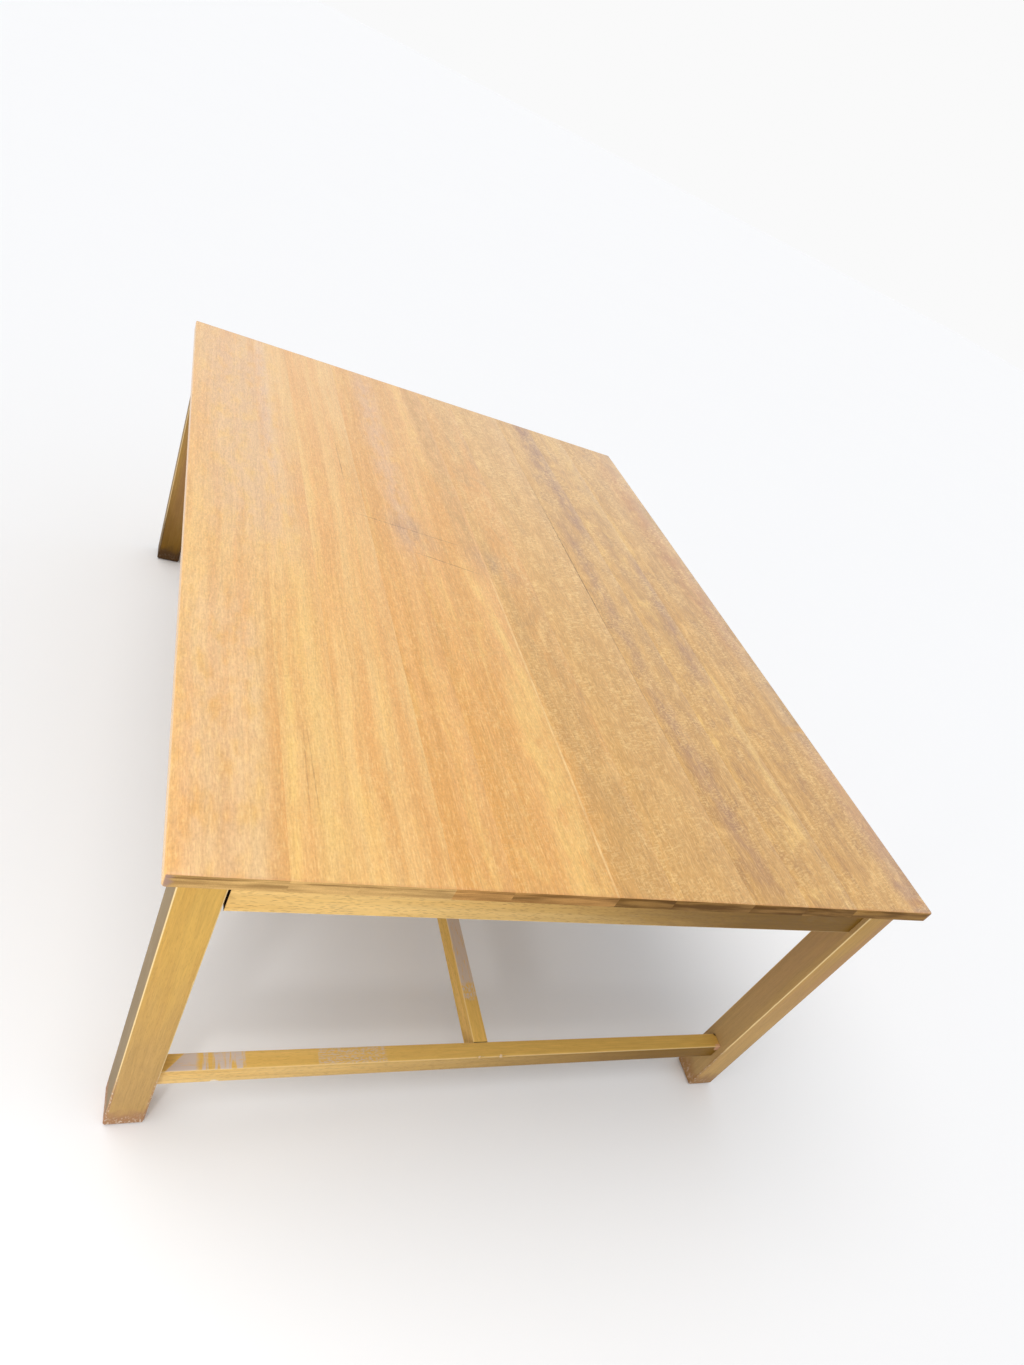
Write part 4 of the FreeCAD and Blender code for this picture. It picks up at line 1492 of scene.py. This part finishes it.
@dataclass
class PlankTop:
    """The ten boards of the top, with one open seam, and the tongues hidden in their seams."""

    boards: tuple[Oak, ...] = field(default_factory=oak_boards)
    marks: tuple[Mark, ...] = field(default_factory=top_marks)
    tongues: RawWood = RawWood("board_tongues", Grain.LENGTHWISE, 21.0)
    open_seam_after: int = 7
    outer_radius: float = 2 * MM
    under_radius: float = 1.2 * MM
    seam_radius: float = 0.15 * MM
    wear: float = 0.7 * MM
    spacing: float = 20 * MM
    side_steps: int = 3
    end_steps: tuple[float, ...] = (0.0, 0.15 * MM, 0.5 * MM, 1.0 * MM, 2.0 * MM, 4.0 * MM, 6.0 * MM)

    def build(self) -> None:
        """Build and dress every board, and dress the tongues."""
        for number, oak in enumerate(self.boards, 1):
            outer = {1: -1, len(self.boards): 1}.get(number, 0)
            open_side = {self.open_seam_after: 1, self.open_seam_after + 1: -1}.get(number, 0)
            (start, end), bounds = measure(oak.board, Grain.LENGTHWISE)
            section = Section(self.radii(outer), side_steps=self.side_steps)
            board = WornBoard(Grain.LENGTHWISE, section, bounds, start, end, oak.seed, self.wear,
                              spacing=self.spacing, end_steps=self.end_steps,
                              outer=outer, open_side=open_side)
            marks = [mark for mark in self.marks if mark.touches(*bounds[:2])]
            loft = Loft().add(board.rings())
            loft.piece(f"plank_{number:02d}", oak.board, Slot.TOP_WOOD, oak.material(marks))
        self.tongues.dress()

    def radii(self, outer: int) -> tuple[float, ...]:
        """The corner radii of a board's section, larger where the side is on the outside."""
        outside = {1: self.outer_radius, -1: self.under_radius}
        return tuple(outside[sign_b] if sign_a == outer else self.seam_radius
                     for sign_a, sign_b in CORNER_SIGNS)


# The frame

class Corner(Enum):
    """The corners of the frame, with the signs of their places in X and Y."""

    FRONT_LEFT = (-1, -1)
    FRONT_RIGHT = (1, -1)
    BACK_RIGHT = (1, 1)
    BACK_LEFT = (-1, 1)

    @property
    def word(self) -> str:
        """The corner's name in the names of its pieces."""
        return self.name.lower()

    @property
    def inward(self) -> Point:
        """The signs of the way from the corner to the middle of the table."""
        return -self.value[0], -self.value[1]


@dataclass(frozen=True)
class LegLook:
    """The tones of one leg, the painted shade on its -Y side, and the painted shade that darkens it towards
    the floor.
    """

    corner: Corner
    main: BeechTone
    second: BeechTone
    seed: float
    grime: float
    shading: BeechTone = BeechTone.DULL
    darkening: Span = (0.62, 0.10)
    foot: Foot = Foot()


@dataclass
class Legs:
    """The four legs."""

    arris: float = 2 * MM
    wear: float = 0.5 * MM
    rubbed: float = 0.85
    flecking: float = 0.15
    looks: tuple[LegLook, ...] = (
        # the far-left leg is painted in the table's shade: greyed side, darker towards the floor, dark foot
        LegLook(Corner.FRONT_LEFT, BeechTone.OLIVE, BeechTone.CHESTNUT, 31.0, 0.6, BeechTone.WALNUT,
                (0.36, 0.0), Foot(DAMP_FOOT, 0.1)),
        LegLook(Corner.FRONT_RIGHT, BeechTone.GOLD, BeechTone.HONEY, 34.7, 0.85),
        LegLook(Corner.BACK_RIGHT, BeechTone.CHESTNUT, BeechTone.OLIVE, 38.4, 0.3,
                foot=Foot(BROWN_FOOT, 0.25)),
        LegLook(Corner.BACK_LEFT, BeechTone.OLIVE, BeechTone.CHESTNUT, 42.1, 0.2),
    )

    def build(self) -> None:
        """Build and dress the legs, with their flats above the foot of the aprons."""
        bevel_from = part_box("end_apron_right")[0].z
        for look in self.looks:
            node = f"leg_{look.corner.word}"
            (foot, head), bounds = measure(node, Grain.UPRIGHT)
            leg = WornLeg(Grain.UPRIGHT, Section((self.arris,) * 4), bounds, foot, head, look.seed, self.wear,
                          bevel_from=bevel_from, inward=look.corner.inward)
            finish = Beech(node, Grain.UPRIGHT, look.main, look.second, look.seed, bounds, worn=self.rubbed,
                           flecking=self.flecking, foot=look.foot, grimy_front=look.grime,
                           shading=look.shading, darkening=look.darkening)
            Loft().add(leg.rings()).piece(f"worn_{node}", node, Slot.FRAME_WOOD, finish.material())


@dataclass(frozen=True)
class Bar:
    """One apron or stretcher: the way its fibres run, its tones, where painted shade darkens it and its marks
    of use.
    """

    node: str
    grain: Grain
    main: BeechTone
    second: BeechTone
    seed: float
    darkening: Span | None = None
    patches: tuple[Patch, ...] = ()
    scars: tuple[Scar, ...] = ()
    chips: tuple[Chip, ...] = ()


@dataclass
class Aprons:
    """The four aprons under the top."""

    open_shoulder: float = 6 * MM
    rubbed: float = 0.45
    flecking: float = 0.55
    bars: tuple[Bar, ...] = (
        # the right end apron darkens towards +Y in painted shade
        Bar("end_apron_right", Grain.CROSSWISE, BeechTone.CREAM, BeechTone.STRAW, 51.0, (-0.45, 0.40)),
        Bar("end_apron_left", Grain.CROSSWISE, BeechTone.GOLD, BeechTone.OLIVE, 53.9),
        Bar("side_apron_front", Grain.LENGTHWISE, BeechTone.OLIVE, BeechTone.GOLD, 56.8),
        Bar("side_apron_back", Grain.LENGTHWISE, BeechTone.GOLD, BeechTone.CHESTNUT, 59.7),
    )

    def build(self) -> None:
        """Dress the aprons, whose solids have their grooves, housings and tenons."""
        front, back = between_legs()
        joints = {"end_apron_right": (front + self.open_shoulder, back)}
        for bar in self.bars:
            _, bounds = measure(bar.node, bar.grain)
            finish = Beech(bar.node, bar.grain, bar.main, bar.second, bar.seed, bounds, worn=self.rubbed,
                           flecking=self.flecking, darkening=bar.darkening, joints=joints.get(bar.node))
            dress(bar.node, finish.material())


@dataclass
class Stretchers:
    """The two end stretchers and the long one between them."""

    arris: float = 2 * MM
    wear: float = 0.5 * MM
    spacing: float = 10 * MM
    tenon_thickness: float = 12 * MM
    tenon_shoulder: float = 7 * MM
    tenon_arris: float = 0.5 * MM
    bars: tuple[Bar, ...] = (
        # the right end stretcher darkens towards +Y in painted shade
        Bar("end_stretcher_right", Grain.CROSSWISE, BeechTone.CREAM, BeechTone.STRAW, 71.0, (-0.65, 0.60),
            patches=(Patch(Bloom.FINGERS, -0.602, -0.548, -0.468, 0.80, slant=1.0),
                     Patch(Bloom.SPECKLES, -0.337, -0.337, -0.206, 0.50)),
            scars=(Scar(SCUFF, 3, -0.513, 9 * MM), Scar(SCUFF, 0, 0.038, 5 * MM, 0.6),
                   Scar(SCUFF, 0, -0.010, 4 * MM, 0.5), Scar(PINK_WOOD, 0, 0.606, 12 * MM, 0.7, drop=6 * MM),
                   # painted shade in the gap at the top back edge where the stretcher meets the leg
                   Scar(JOINT_DARK, 1, 0.610, 7 * MM)),
            chips=(Chip(0, 0.038, 8 * MM, 3 * MM), Chip(0, -0.010, 5 * MM, 2.2 * MM),
                   Chip(3, -0.514, 12 * MM, 3 * MM), Chip(1, -0.40, 6 * MM, 2 * MM))),
        Bar("end_stretcher_left", Grain.CROSSWISE, BeechTone.OLIVE, BeechTone.GOLD, 75.3,
            patches=(Patch(Bloom.FINGERS, -0.10, -0.02, 0.06, 0.6),
                     Patch(Bloom.SPECKLES, 0.33, 0.33, 0.45, 0.5)),
            chips=(Chip(1, 0.21, 10 * MM, 2.5 * MM),)),
        Bar("long_stretcher", Grain.LENGTHWISE, BeechTone.GOLD, BeechTone.STRAW, 79.6,
            patches=(Patch(Bloom.SPECKLES, -0.62, -0.45, -0.30, 0.5),
                     Patch(Bloom.SPECKLES, 0.52, 0.745, 0.78, 0.7)),
            chips=(Chip(1, 0.66, 8 * MM, 2.2 * MM), Chip(0, -0.28, 12 * MM, 2.5 * MM))),
    )

    def build(self) -> None:
        """Build and dress the stretchers, each with the tenons that hold it."""
        between_ends = (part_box("end_stretcher_left")[1].x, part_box("end_stretcher_right")[0].x)
        for bar in self.bars:
            start, end = between_legs() if bar.grain is Grain.CROSSWISE else between_ends
            (low, high), bounds = measure(bar.node, bar.grain)
            worn = WornBar(bar.grain, Section((self.arris,) * 4), bounds, start, end, bar.seed, self.wear,
                           bar.chips, self.spacing)
            near = [self.tenon_ring(worn, place) for place in (low, start)]
            far = [self.tenon_ring(worn, place) for place in (end, high)]
            finish = Beech(bar.node, bar.grain, bar.main, bar.second, bar.seed, bounds,
                           darkening=bar.darkening, patches=bar.patches, scars=bar.scars,
                           joints=(start, end))
            loft = Loft().add(near + worn.rings() + far)
            loft.piece(f"worn_{bar.node}", bar.node, Slot.FRAME_WOOD, finish.material())

    def tenon_ring(self, bar: WornBar, place: float) -> list[Vector]:
        """The section of a bar's tenon.

        Args:
            bar: The bar.
            place: A place along it.

        Returns:
            The points round the tenon.
        """
        low_a, high_a, low_b, high_b = bar.bounds
        middle = 0.5 * (low_a + high_a)
        half = 0.5 * self.tenon_thickness
        bounds = (middle - half, middle + half, low_b + self.tenon_shoulder, high_b - self.tenon_shoulder)
        return [bar.at(place, rim.a, rim.b) for rim in Section((self.tenon_arris,) * 4).outline(bounds)]


# The fixings

@dataclass(frozen=True)
class WoodScrew:
    """A slotted wood screw, whose head starts at nought and whose point is its length away."""

    head_radius: float = 4 * MM
    head_height: float = 3 * MM
    head_edge: float = 0.3 * MM
    shank_radius: float = 2 * MM
    point_length: float = 6 * MM
    tip_radius: float = 0.2 * MM
    slot_half: float = 0.55 * MM
    slot_depth: float = 1.2 * MM
    # the depth of each ring of the rounded rim below the top of the head, and how far it draws in
    rim: tuple[Point, ...] = ((0.5 * MM, 0.0), (0.15 * MM, 0.15 * MM), (0.0, 0.5 * MM))
    steps: int = 20

    def add_to(self, loft: Loft, stand: Matrix, length: float) -> None:
        """Add the screw to a mesh.

        Args:
            loft: The mesh.
            stand: Where the screw stands, with its point along Z.
            length: The screw's length.
        """
        head, shank, edge = self.head_radius, self.shank_radius, self.head_edge
        profile = ((head, self.slot_depth), (head, self.head_height - edge), (head - edge, self.head_height),
                   (shank, self.head_height), (shank, length - self.point_length), (self.tip_radius, length))
        loft.add(turned(profile, self.steps, stand))
        for half_turn in (0.0, TURN / 2):
            loft.add([self.land(half_turn, level, inset, stand)
                      for level, inset in ((self.slot_depth, 0.0), *self.rim)])

    def land(self, half_turn: float, level: float, inset: float, stand: Matrix) -> list[Vector]:
        """The outline of the head on one side of its slot.

        Args:
            half_turn: Which side of the slot.
            level: How deep below the top of the head.
            inset: How far the rounded rim draws in there.
            stand: Where the screw stands.

        Returns:
            The outline's points.
        """
        radius = self.head_radius - inset
        reach = math.asin(self.slot_half / radius)
        turns = [reach + (TURN / 2 - 2 * reach) * step / self.steps for step in range(self.steps + 1)]
        return [stand @ polar(radius, turn + half_turn, level) for turn in turns]


@dataclass(frozen=True)
class Thread:
    """A screw thread, and how many rings its stretch of the bolt is built of."""

    pitch: float
    depth: float
    length: float
    rings: int

    def cut(self, height: float, turn: float) -> float:
        """How deep the thread cuts at a height and a share of a turn."""
        return 2 * self.depth * abs((height / self.pitch - turn) % 1.0 - 0.5)


@dataclass(frozen=True)
class DiagonalCopy:
    """One copy of a round fixing that lies level on a corner's diagonal, with its width in X."""

    middle: Vector
    inward: Vector
    width: float

    def length(self, radius: float) -> float:
        """The copy's length along the diagonal, where its radius is known."""
        return math.sqrt(2) * self.width - 2 * radius

    def stand(self, length: float) -> Matrix:
        """The frame at the copy's outer end, with Z inward."""
        return axis_frame(self.middle - 0.5 * length * self.inward, self.inward)


def diagonal_copies(node: str) -> list[DiagonalCopy]:
    """The copies of a fixing, one on each corner's diagonal.

    Args:
        node: The solid that holds the copies.

    Returns:
        The copies in order.
    """
    copies = []
    for low, high in islands(node):
        middle = 0.5 * (low + high)
        inward = Vector((-math.copysign(1, middle.x), -math.copysign(1, middle.y), 0)).normalized()
        copies.append(DiagonalCopy(middle, inward, (high - low).x))
    return copies


@dataclass
class CornerFixings:
    """The corner blocks, with their bolts, washers, nuts and screws."""

    blocks: tuple[RawWood, ...] = (
        RawWood("corner_block_front_left", Grain.CROSSWISE, 91.0),
        RawWood("corner_block_front_right", Grain.CROSSWISE, 93.3),
        RawWood("corner_block_back_right", Grain.CROSSWISE, 95.6),
        RawWood("corner_block_back_left", Grain.CROSSWISE, 97.9),
    )
    screw: WoodScrew = WoodScrew()
    bolt_radius: float = 4 * MM
    wood_thread: Thread = Thread(3.2 * MM, 0.9 * MM, 30 * MM, 60)
    nut_thread: Thread = Thread(1.25 * MM, 0.45 * MM, 24 * MM, 96)
    point_share: float = 0.25
    point_taper: float = 8 * MM
    end_bevel: float = 0.6 * MM
    nut_flats: float = 13 * MM
    nut_face_share: float = 0.95
    washer_radius: float = 10 * MM
    washer_bore: float = 4.5 * MM
    washer_edge: float = 0.3 * MM
    steps: int = 24

    def build(self) -> None:
        """Dress the blocks and build the metal that holds them."""
        for block in self.blocks:
            block.dress()
        self.build_bolts()
        self.build_washers()
        self.build_nuts()
        self.build_screws()

    def build_bolts(self) -> None:
        """Build the hanger bolts, with a coarse thread in the leg and a fine one for the nut."""
        loft = Loft()
        for bolt in diagonal_copies("hanger_bolts"):
            length = bolt.length(self.bolt_radius)
            stand = bolt.stand(length)
            loft.add([self.bolt_ring(height, length, stand) for height in self.bolt_heights(length)])
        loft.piece("threaded_bolts", "hanger_bolts", Slot.STEEL, Zinc("bolts").material())

    def bolt_heights(self, length: float) -> list[float]:
        """The places of the rings along a bolt, closer in its threads.

        Args:
            length: The bolt's length.

        Returns:
            The places in order.
        """
        wood, nut = self.wood_thread, self.nut_thread
        nut_from = length - nut.length
        coarse = [wood.length * step / wood.rings for step in range(wood.rings)]
        plain = [wood.length, 0.5 * (wood.length + nut_from)]
        fine = [nut_from + nut.length * step / nut.rings for step in range(nut.rings + 1)]
        return coarse + plain + fine

    def bolt_ring(self, height: float, length: float, stand: Matrix) -> list[Vector]:
        """One ring of a bolt.

        Args:
            height: The ring's place along the bolt.
            length: The bolt's length.
            stand: Where the bolt stands.

        Returns:
            The ring's points.
        """
        points = []
        for step in range(self.steps):
            turn = step / self.steps
            radius = self.bolt_radius
            if height < self.wood_thread.length:
                radius -= self.wood_thread.cut(height, turn)
                radius *= min(1.0, self.point_share + height / self.point_taper)
            elif height > length - self.nut_thread.length:
                radius -= self.nut_thread.cut(height, turn)
                radius -= max(0.0, height - length + self.end_bevel)
            points.append(stand @ polar(radius, TURN * turn, height))
        return points

    def build_washers(self) -> None:
        """Build the washers, with softened edges."""
        loft = Loft()
        edge, bore, rim = self.washer_edge, self.washer_bore, self.washer_radius
        for washer in diagonal_copies("bolt_washers"):
            thick = washer.length(rim)
            profile = ((bore, 0.0), (rim - edge, 0.0), (rim, edge), (rim, thick - edge), (rim - edge, thick),
                       (bore + edge, thick), (bore, thick - edge))
            loft.add(turned(profile, 2 * self.steps, washer.stand(thick)), looped=True)
        loft.piece("soft_edged_washers", "bolt_washers", Slot.STEEL, Zinc("washers").material())

    def build_nuts(self) -> None:
        """Build the hexagon nuts on the washers, with their corners turned off at both faces."""
        loft = Loft()
        washers = diagonal_copies("bolt_washers")
        for nut in diagonal_copies("bolt_nuts"):
            washer = min(washers, key=lambda copy: (copy.middle - nut.middle).length)
            face = washer.middle + 0.5 * washer.length(self.washer_radius) * nut.inward
            height = 2 * (nut.middle - face).dot(nut.inward)
            loft.add(self.nut_rings(height, axis_frame(face, nut.inward)), looped=True)
        loft.piece("turned_nuts", "bolt_nuts", Slot.STEEL, Zinc("nuts").material())

    def nut_rings(self, height: float, stand: Matrix) -> list[list[Vector]]:
        """The rings of one nut, from its bore round the outside and back.

        Args:
            height: The nut's height.
            stand: Where it stands.

        Returns:
            The rings in order.
        """
        half_side = TURN / 12
        flat = 0.5 * self.nut_flats
        face = self.nut_face_share * flat
        outline = []
        for step in range(2 * self.steps):
            angle = TURN * step / (2 * self.steps)
            out = flat / math.cos((angle + half_side) % (2 * half_side) - half_side)
            drop = (out - face) * math.tan(half_side)
            spots = ((self.bolt_radius, 0.0), (face, 0.0), (out, drop), (out, height - drop),
                     (face, height), (self.bolt_radius, height))
            outline.append([stand @ polar(radius, angle + half_side, level) for radius, level in spots])
        return [list(ring) for ring in zip(*outline)]

    def build_screws(self) -> None:
        """Build the screws of the blocks, which lie level along X or Y with their points outward."""
        loft = Loft()
        for low, high in islands("corner_block_screws"):
            middle, size = 0.5 * (low + high), high - low
            axis = 0 if size.x > size.y else 1
            outward = Vector((0.0, 0.0, 0.0))
            outward[axis] = math.copysign(1.0, middle[axis])
            head = middle - 0.5 * size[axis] * outward
            self.screw.add_to(loft, axis_frame(head, outward), size[axis])
        loft.piece("block_screws", "corner_block_screws", Slot.STEEL, Zinc("block_screws").material())


@dataclass
class TopFixings:
    """The cross bearer and the buttons, and the screws that hold the top to them."""

    wood: tuple[RawWood, ...] = (
        RawWood("cross_bearer", Grain.CROSSWISE, 111.0),
        RawWood("table_buttons", Grain.LENGTHWISE, 117.0),
    )
    screw: WoodScrew = WoodScrew()

    def build(self) -> None:
        """Dress the wood and build the screws, which stand with their points up."""
        for piece in self.wood:
            piece.dress()
        loft = Loft()
        for low, high in islands("top_screws"):
            head = Vector((0.5 * (low.x + high.x), 0.5 * (low.y + high.y), low.z))
            self.screw.add_to(loft, axis_frame(head, Vector((0, 0, 1))), high.z - low.z)
        loft.piece("slotted_top_screws", "top_screws", Slot.STEEL, Zinc("top_screws").material())


# The studio

def hang(holder: bpy.types.Object, place: Place, aim: Place, roll: float = 0.0) -> None:
    """Put a lamp or a camera in its place.

    Args:
        holder: The lamp or camera.
        place: Where it hangs.
        aim: The point that it looks at.
        roll: How far it is turned about its view, in degrees.
    """
    ahead = Vector(aim) - Vector(place)
    holder.location = place
    holder.rotation_mode = "QUATERNION"
    holder.rotation_quaternion = ahead.to_track_quat("-Z", "Y") @ Quaternion((0, 0, 1), math.radians(roll))
    bpy.context.scene.collection.objects.link(holder)


class LampKind(Enum):
    """The kinds of lamp in the studio."""

    SKY = "SUN"
    WINDOW = "AREA"


@dataclass(frozen=True)
class Lamp:
    """A soft lamp, whose spread is an angle for the sky and a width for a window."""

    name: str
    kind: LampKind
    place: Place
    aim: Place
    spread: float
    power: float
    tint: Place = (1.0, 1.0, 1.0)

    def build(self) -> None:
        """Hang the lamp and point it. A window leaves no mirror image of itself in the lacquer."""
        light = bpy.data.lights.new(self.name, self.kind.value)
        light.energy = self.power
        light.color = self.tint
        if self.kind is LampKind.SKY:
            light.angle = math.radians(self.spread)
        else:
            light.size = self.spread
        lamp = bpy.data.objects.new(self.name, light)
        lamp.visible_glossy = self.kind is LampKind.SKY
        hang(lamp, self.place, self.aim)


@dataclass
class Studio:
    """The floor, light and camera."""

    floor_half: float = 60.0
    floor_tone: Colour = tone(247, 247, 247)
    floor_waves: Place = (0.8, 0.8, 0.0)
    floor_roughness: float = 0.9
    floor_relief: float = 0.01 * MM
    ambient: float = 0.66
    ambient_tint: Colour = (0.96, 1.0, 1.055, 1.0)
    backdrop: float = 0.955
    backdrop_tint: Colour = (1.0, 1.0, 1.0, 1.0)
    camera_place: Place = (1.613, -0.8198, 1.6316)
    camera_aim: Place = (0.1861, 0.0553, 0.537)
    camera_roll: float = 28.43
    camera_lens: float = 22.124
    camera_shift: Point = (0.0091, 0.0004)
    camera_near: float = 0.02
    lamps: tuple[Lamp, ...] = (
        Lamp("overhead", LampKind.SKY, (-0.2, -1.2, 4.0), (0.0, 0.0, 0.7), 55.0, 1.24, (1.05, 1.0, 0.95)),
        Lamp("window", LampKind.WINDOW, (1.85, -1.28, 0.85), (0.9, -0.3, 0.5), 0.16, 5.0),
    )

    def build(self) -> None:
        """Build the whole studio."""
        self.build_floor()
        self.build_world()
        self.build_camera()
        for lamp in self.lamps:
            lamp.build()
        bpy.context.scene.view_settings.view_transform = "Standard"

    def build_floor(self) -> None:
        """Lay a plain pale floor."""
        corners = [(self.floor_half * x, self.floor_half * y, 0.0) for x, y in CORNER_SIGNS]
        mesh = bpy.data.meshes.new("floor")
        mesh.from_pydata(corners, [], [range(len(corners))])
        shader = Shader("pale_floor")
        mottle = shader.spots(self.floor_waves)
        colour = shader.shade(self.floor_tone, 0.99 + 0.01 * mottle)
        mesh.materials.append(shader.surface(colour, self.floor_roughness, mottle, self.floor_relief))
        floor = bpy.data.objects.new("floor", mesh)
        bpy.context.scene.collection.objects.link(floor)

    def build_world(self) -> None:
        """Light the room evenly, with a white backdrop for the eye and for reflections."""
        world = bpy.data.worlds.new("room")
        world.use_nodes = True
        bpy.context.scene.world = world
        tree = NodeTree(world.node_tree)
        eye = tree.wire("LightPath", {}, {}, "Is Camera Ray")
        mirrored = tree.maths("MAXIMUM", eye.other("Is Glossy Ray"), eye.other("Is Transmission Ray"))
        seen = tree.maths("MAXIMUM", eye, mirrored)
        strength = self.ambient + (self.backdrop - self.ambient) * seen
        colour = tree.mix(self.ambient_tint, self.backdrop_tint, seen)
        light = tree.wire("Background", {}, {"Color": colour, "Strength": strength})
        tree.node("OutputWorld", {}, {"Surface": light})

    def build_camera(self) -> None:
        """Stand the camera where the picture was taken from."""
        camera = bpy.data.cameras.new("camera")
        camera.lens = self.camera_lens
        camera.shift_x, camera.shift_y = self.camera_shift
        camera.clip_start = self.camera_near
        holder = bpy.data.objects.new("camera", camera)
        hang(holder, self.camera_place, self.camera_aim, self.camera_roll)
        bpy.context.scene.camera = holder


def write_sizes() -> None:
    """Bring the scene up to date."""
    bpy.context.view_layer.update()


def main() -> None:
    """Build and dress the table, then its studio."""
    logging.basicConfig(level=logging.INFO, format="%(message)s")
    for assembly in (PlankTop(), Legs(), Aprons(), Stretchers(), CornerFixings(), TopFixings(), Studio()):
        LOG.info("building %s", type(assembly).__name__)
        assembly.build()
    write_sizes()


if __name__ == "__main__":
    main()
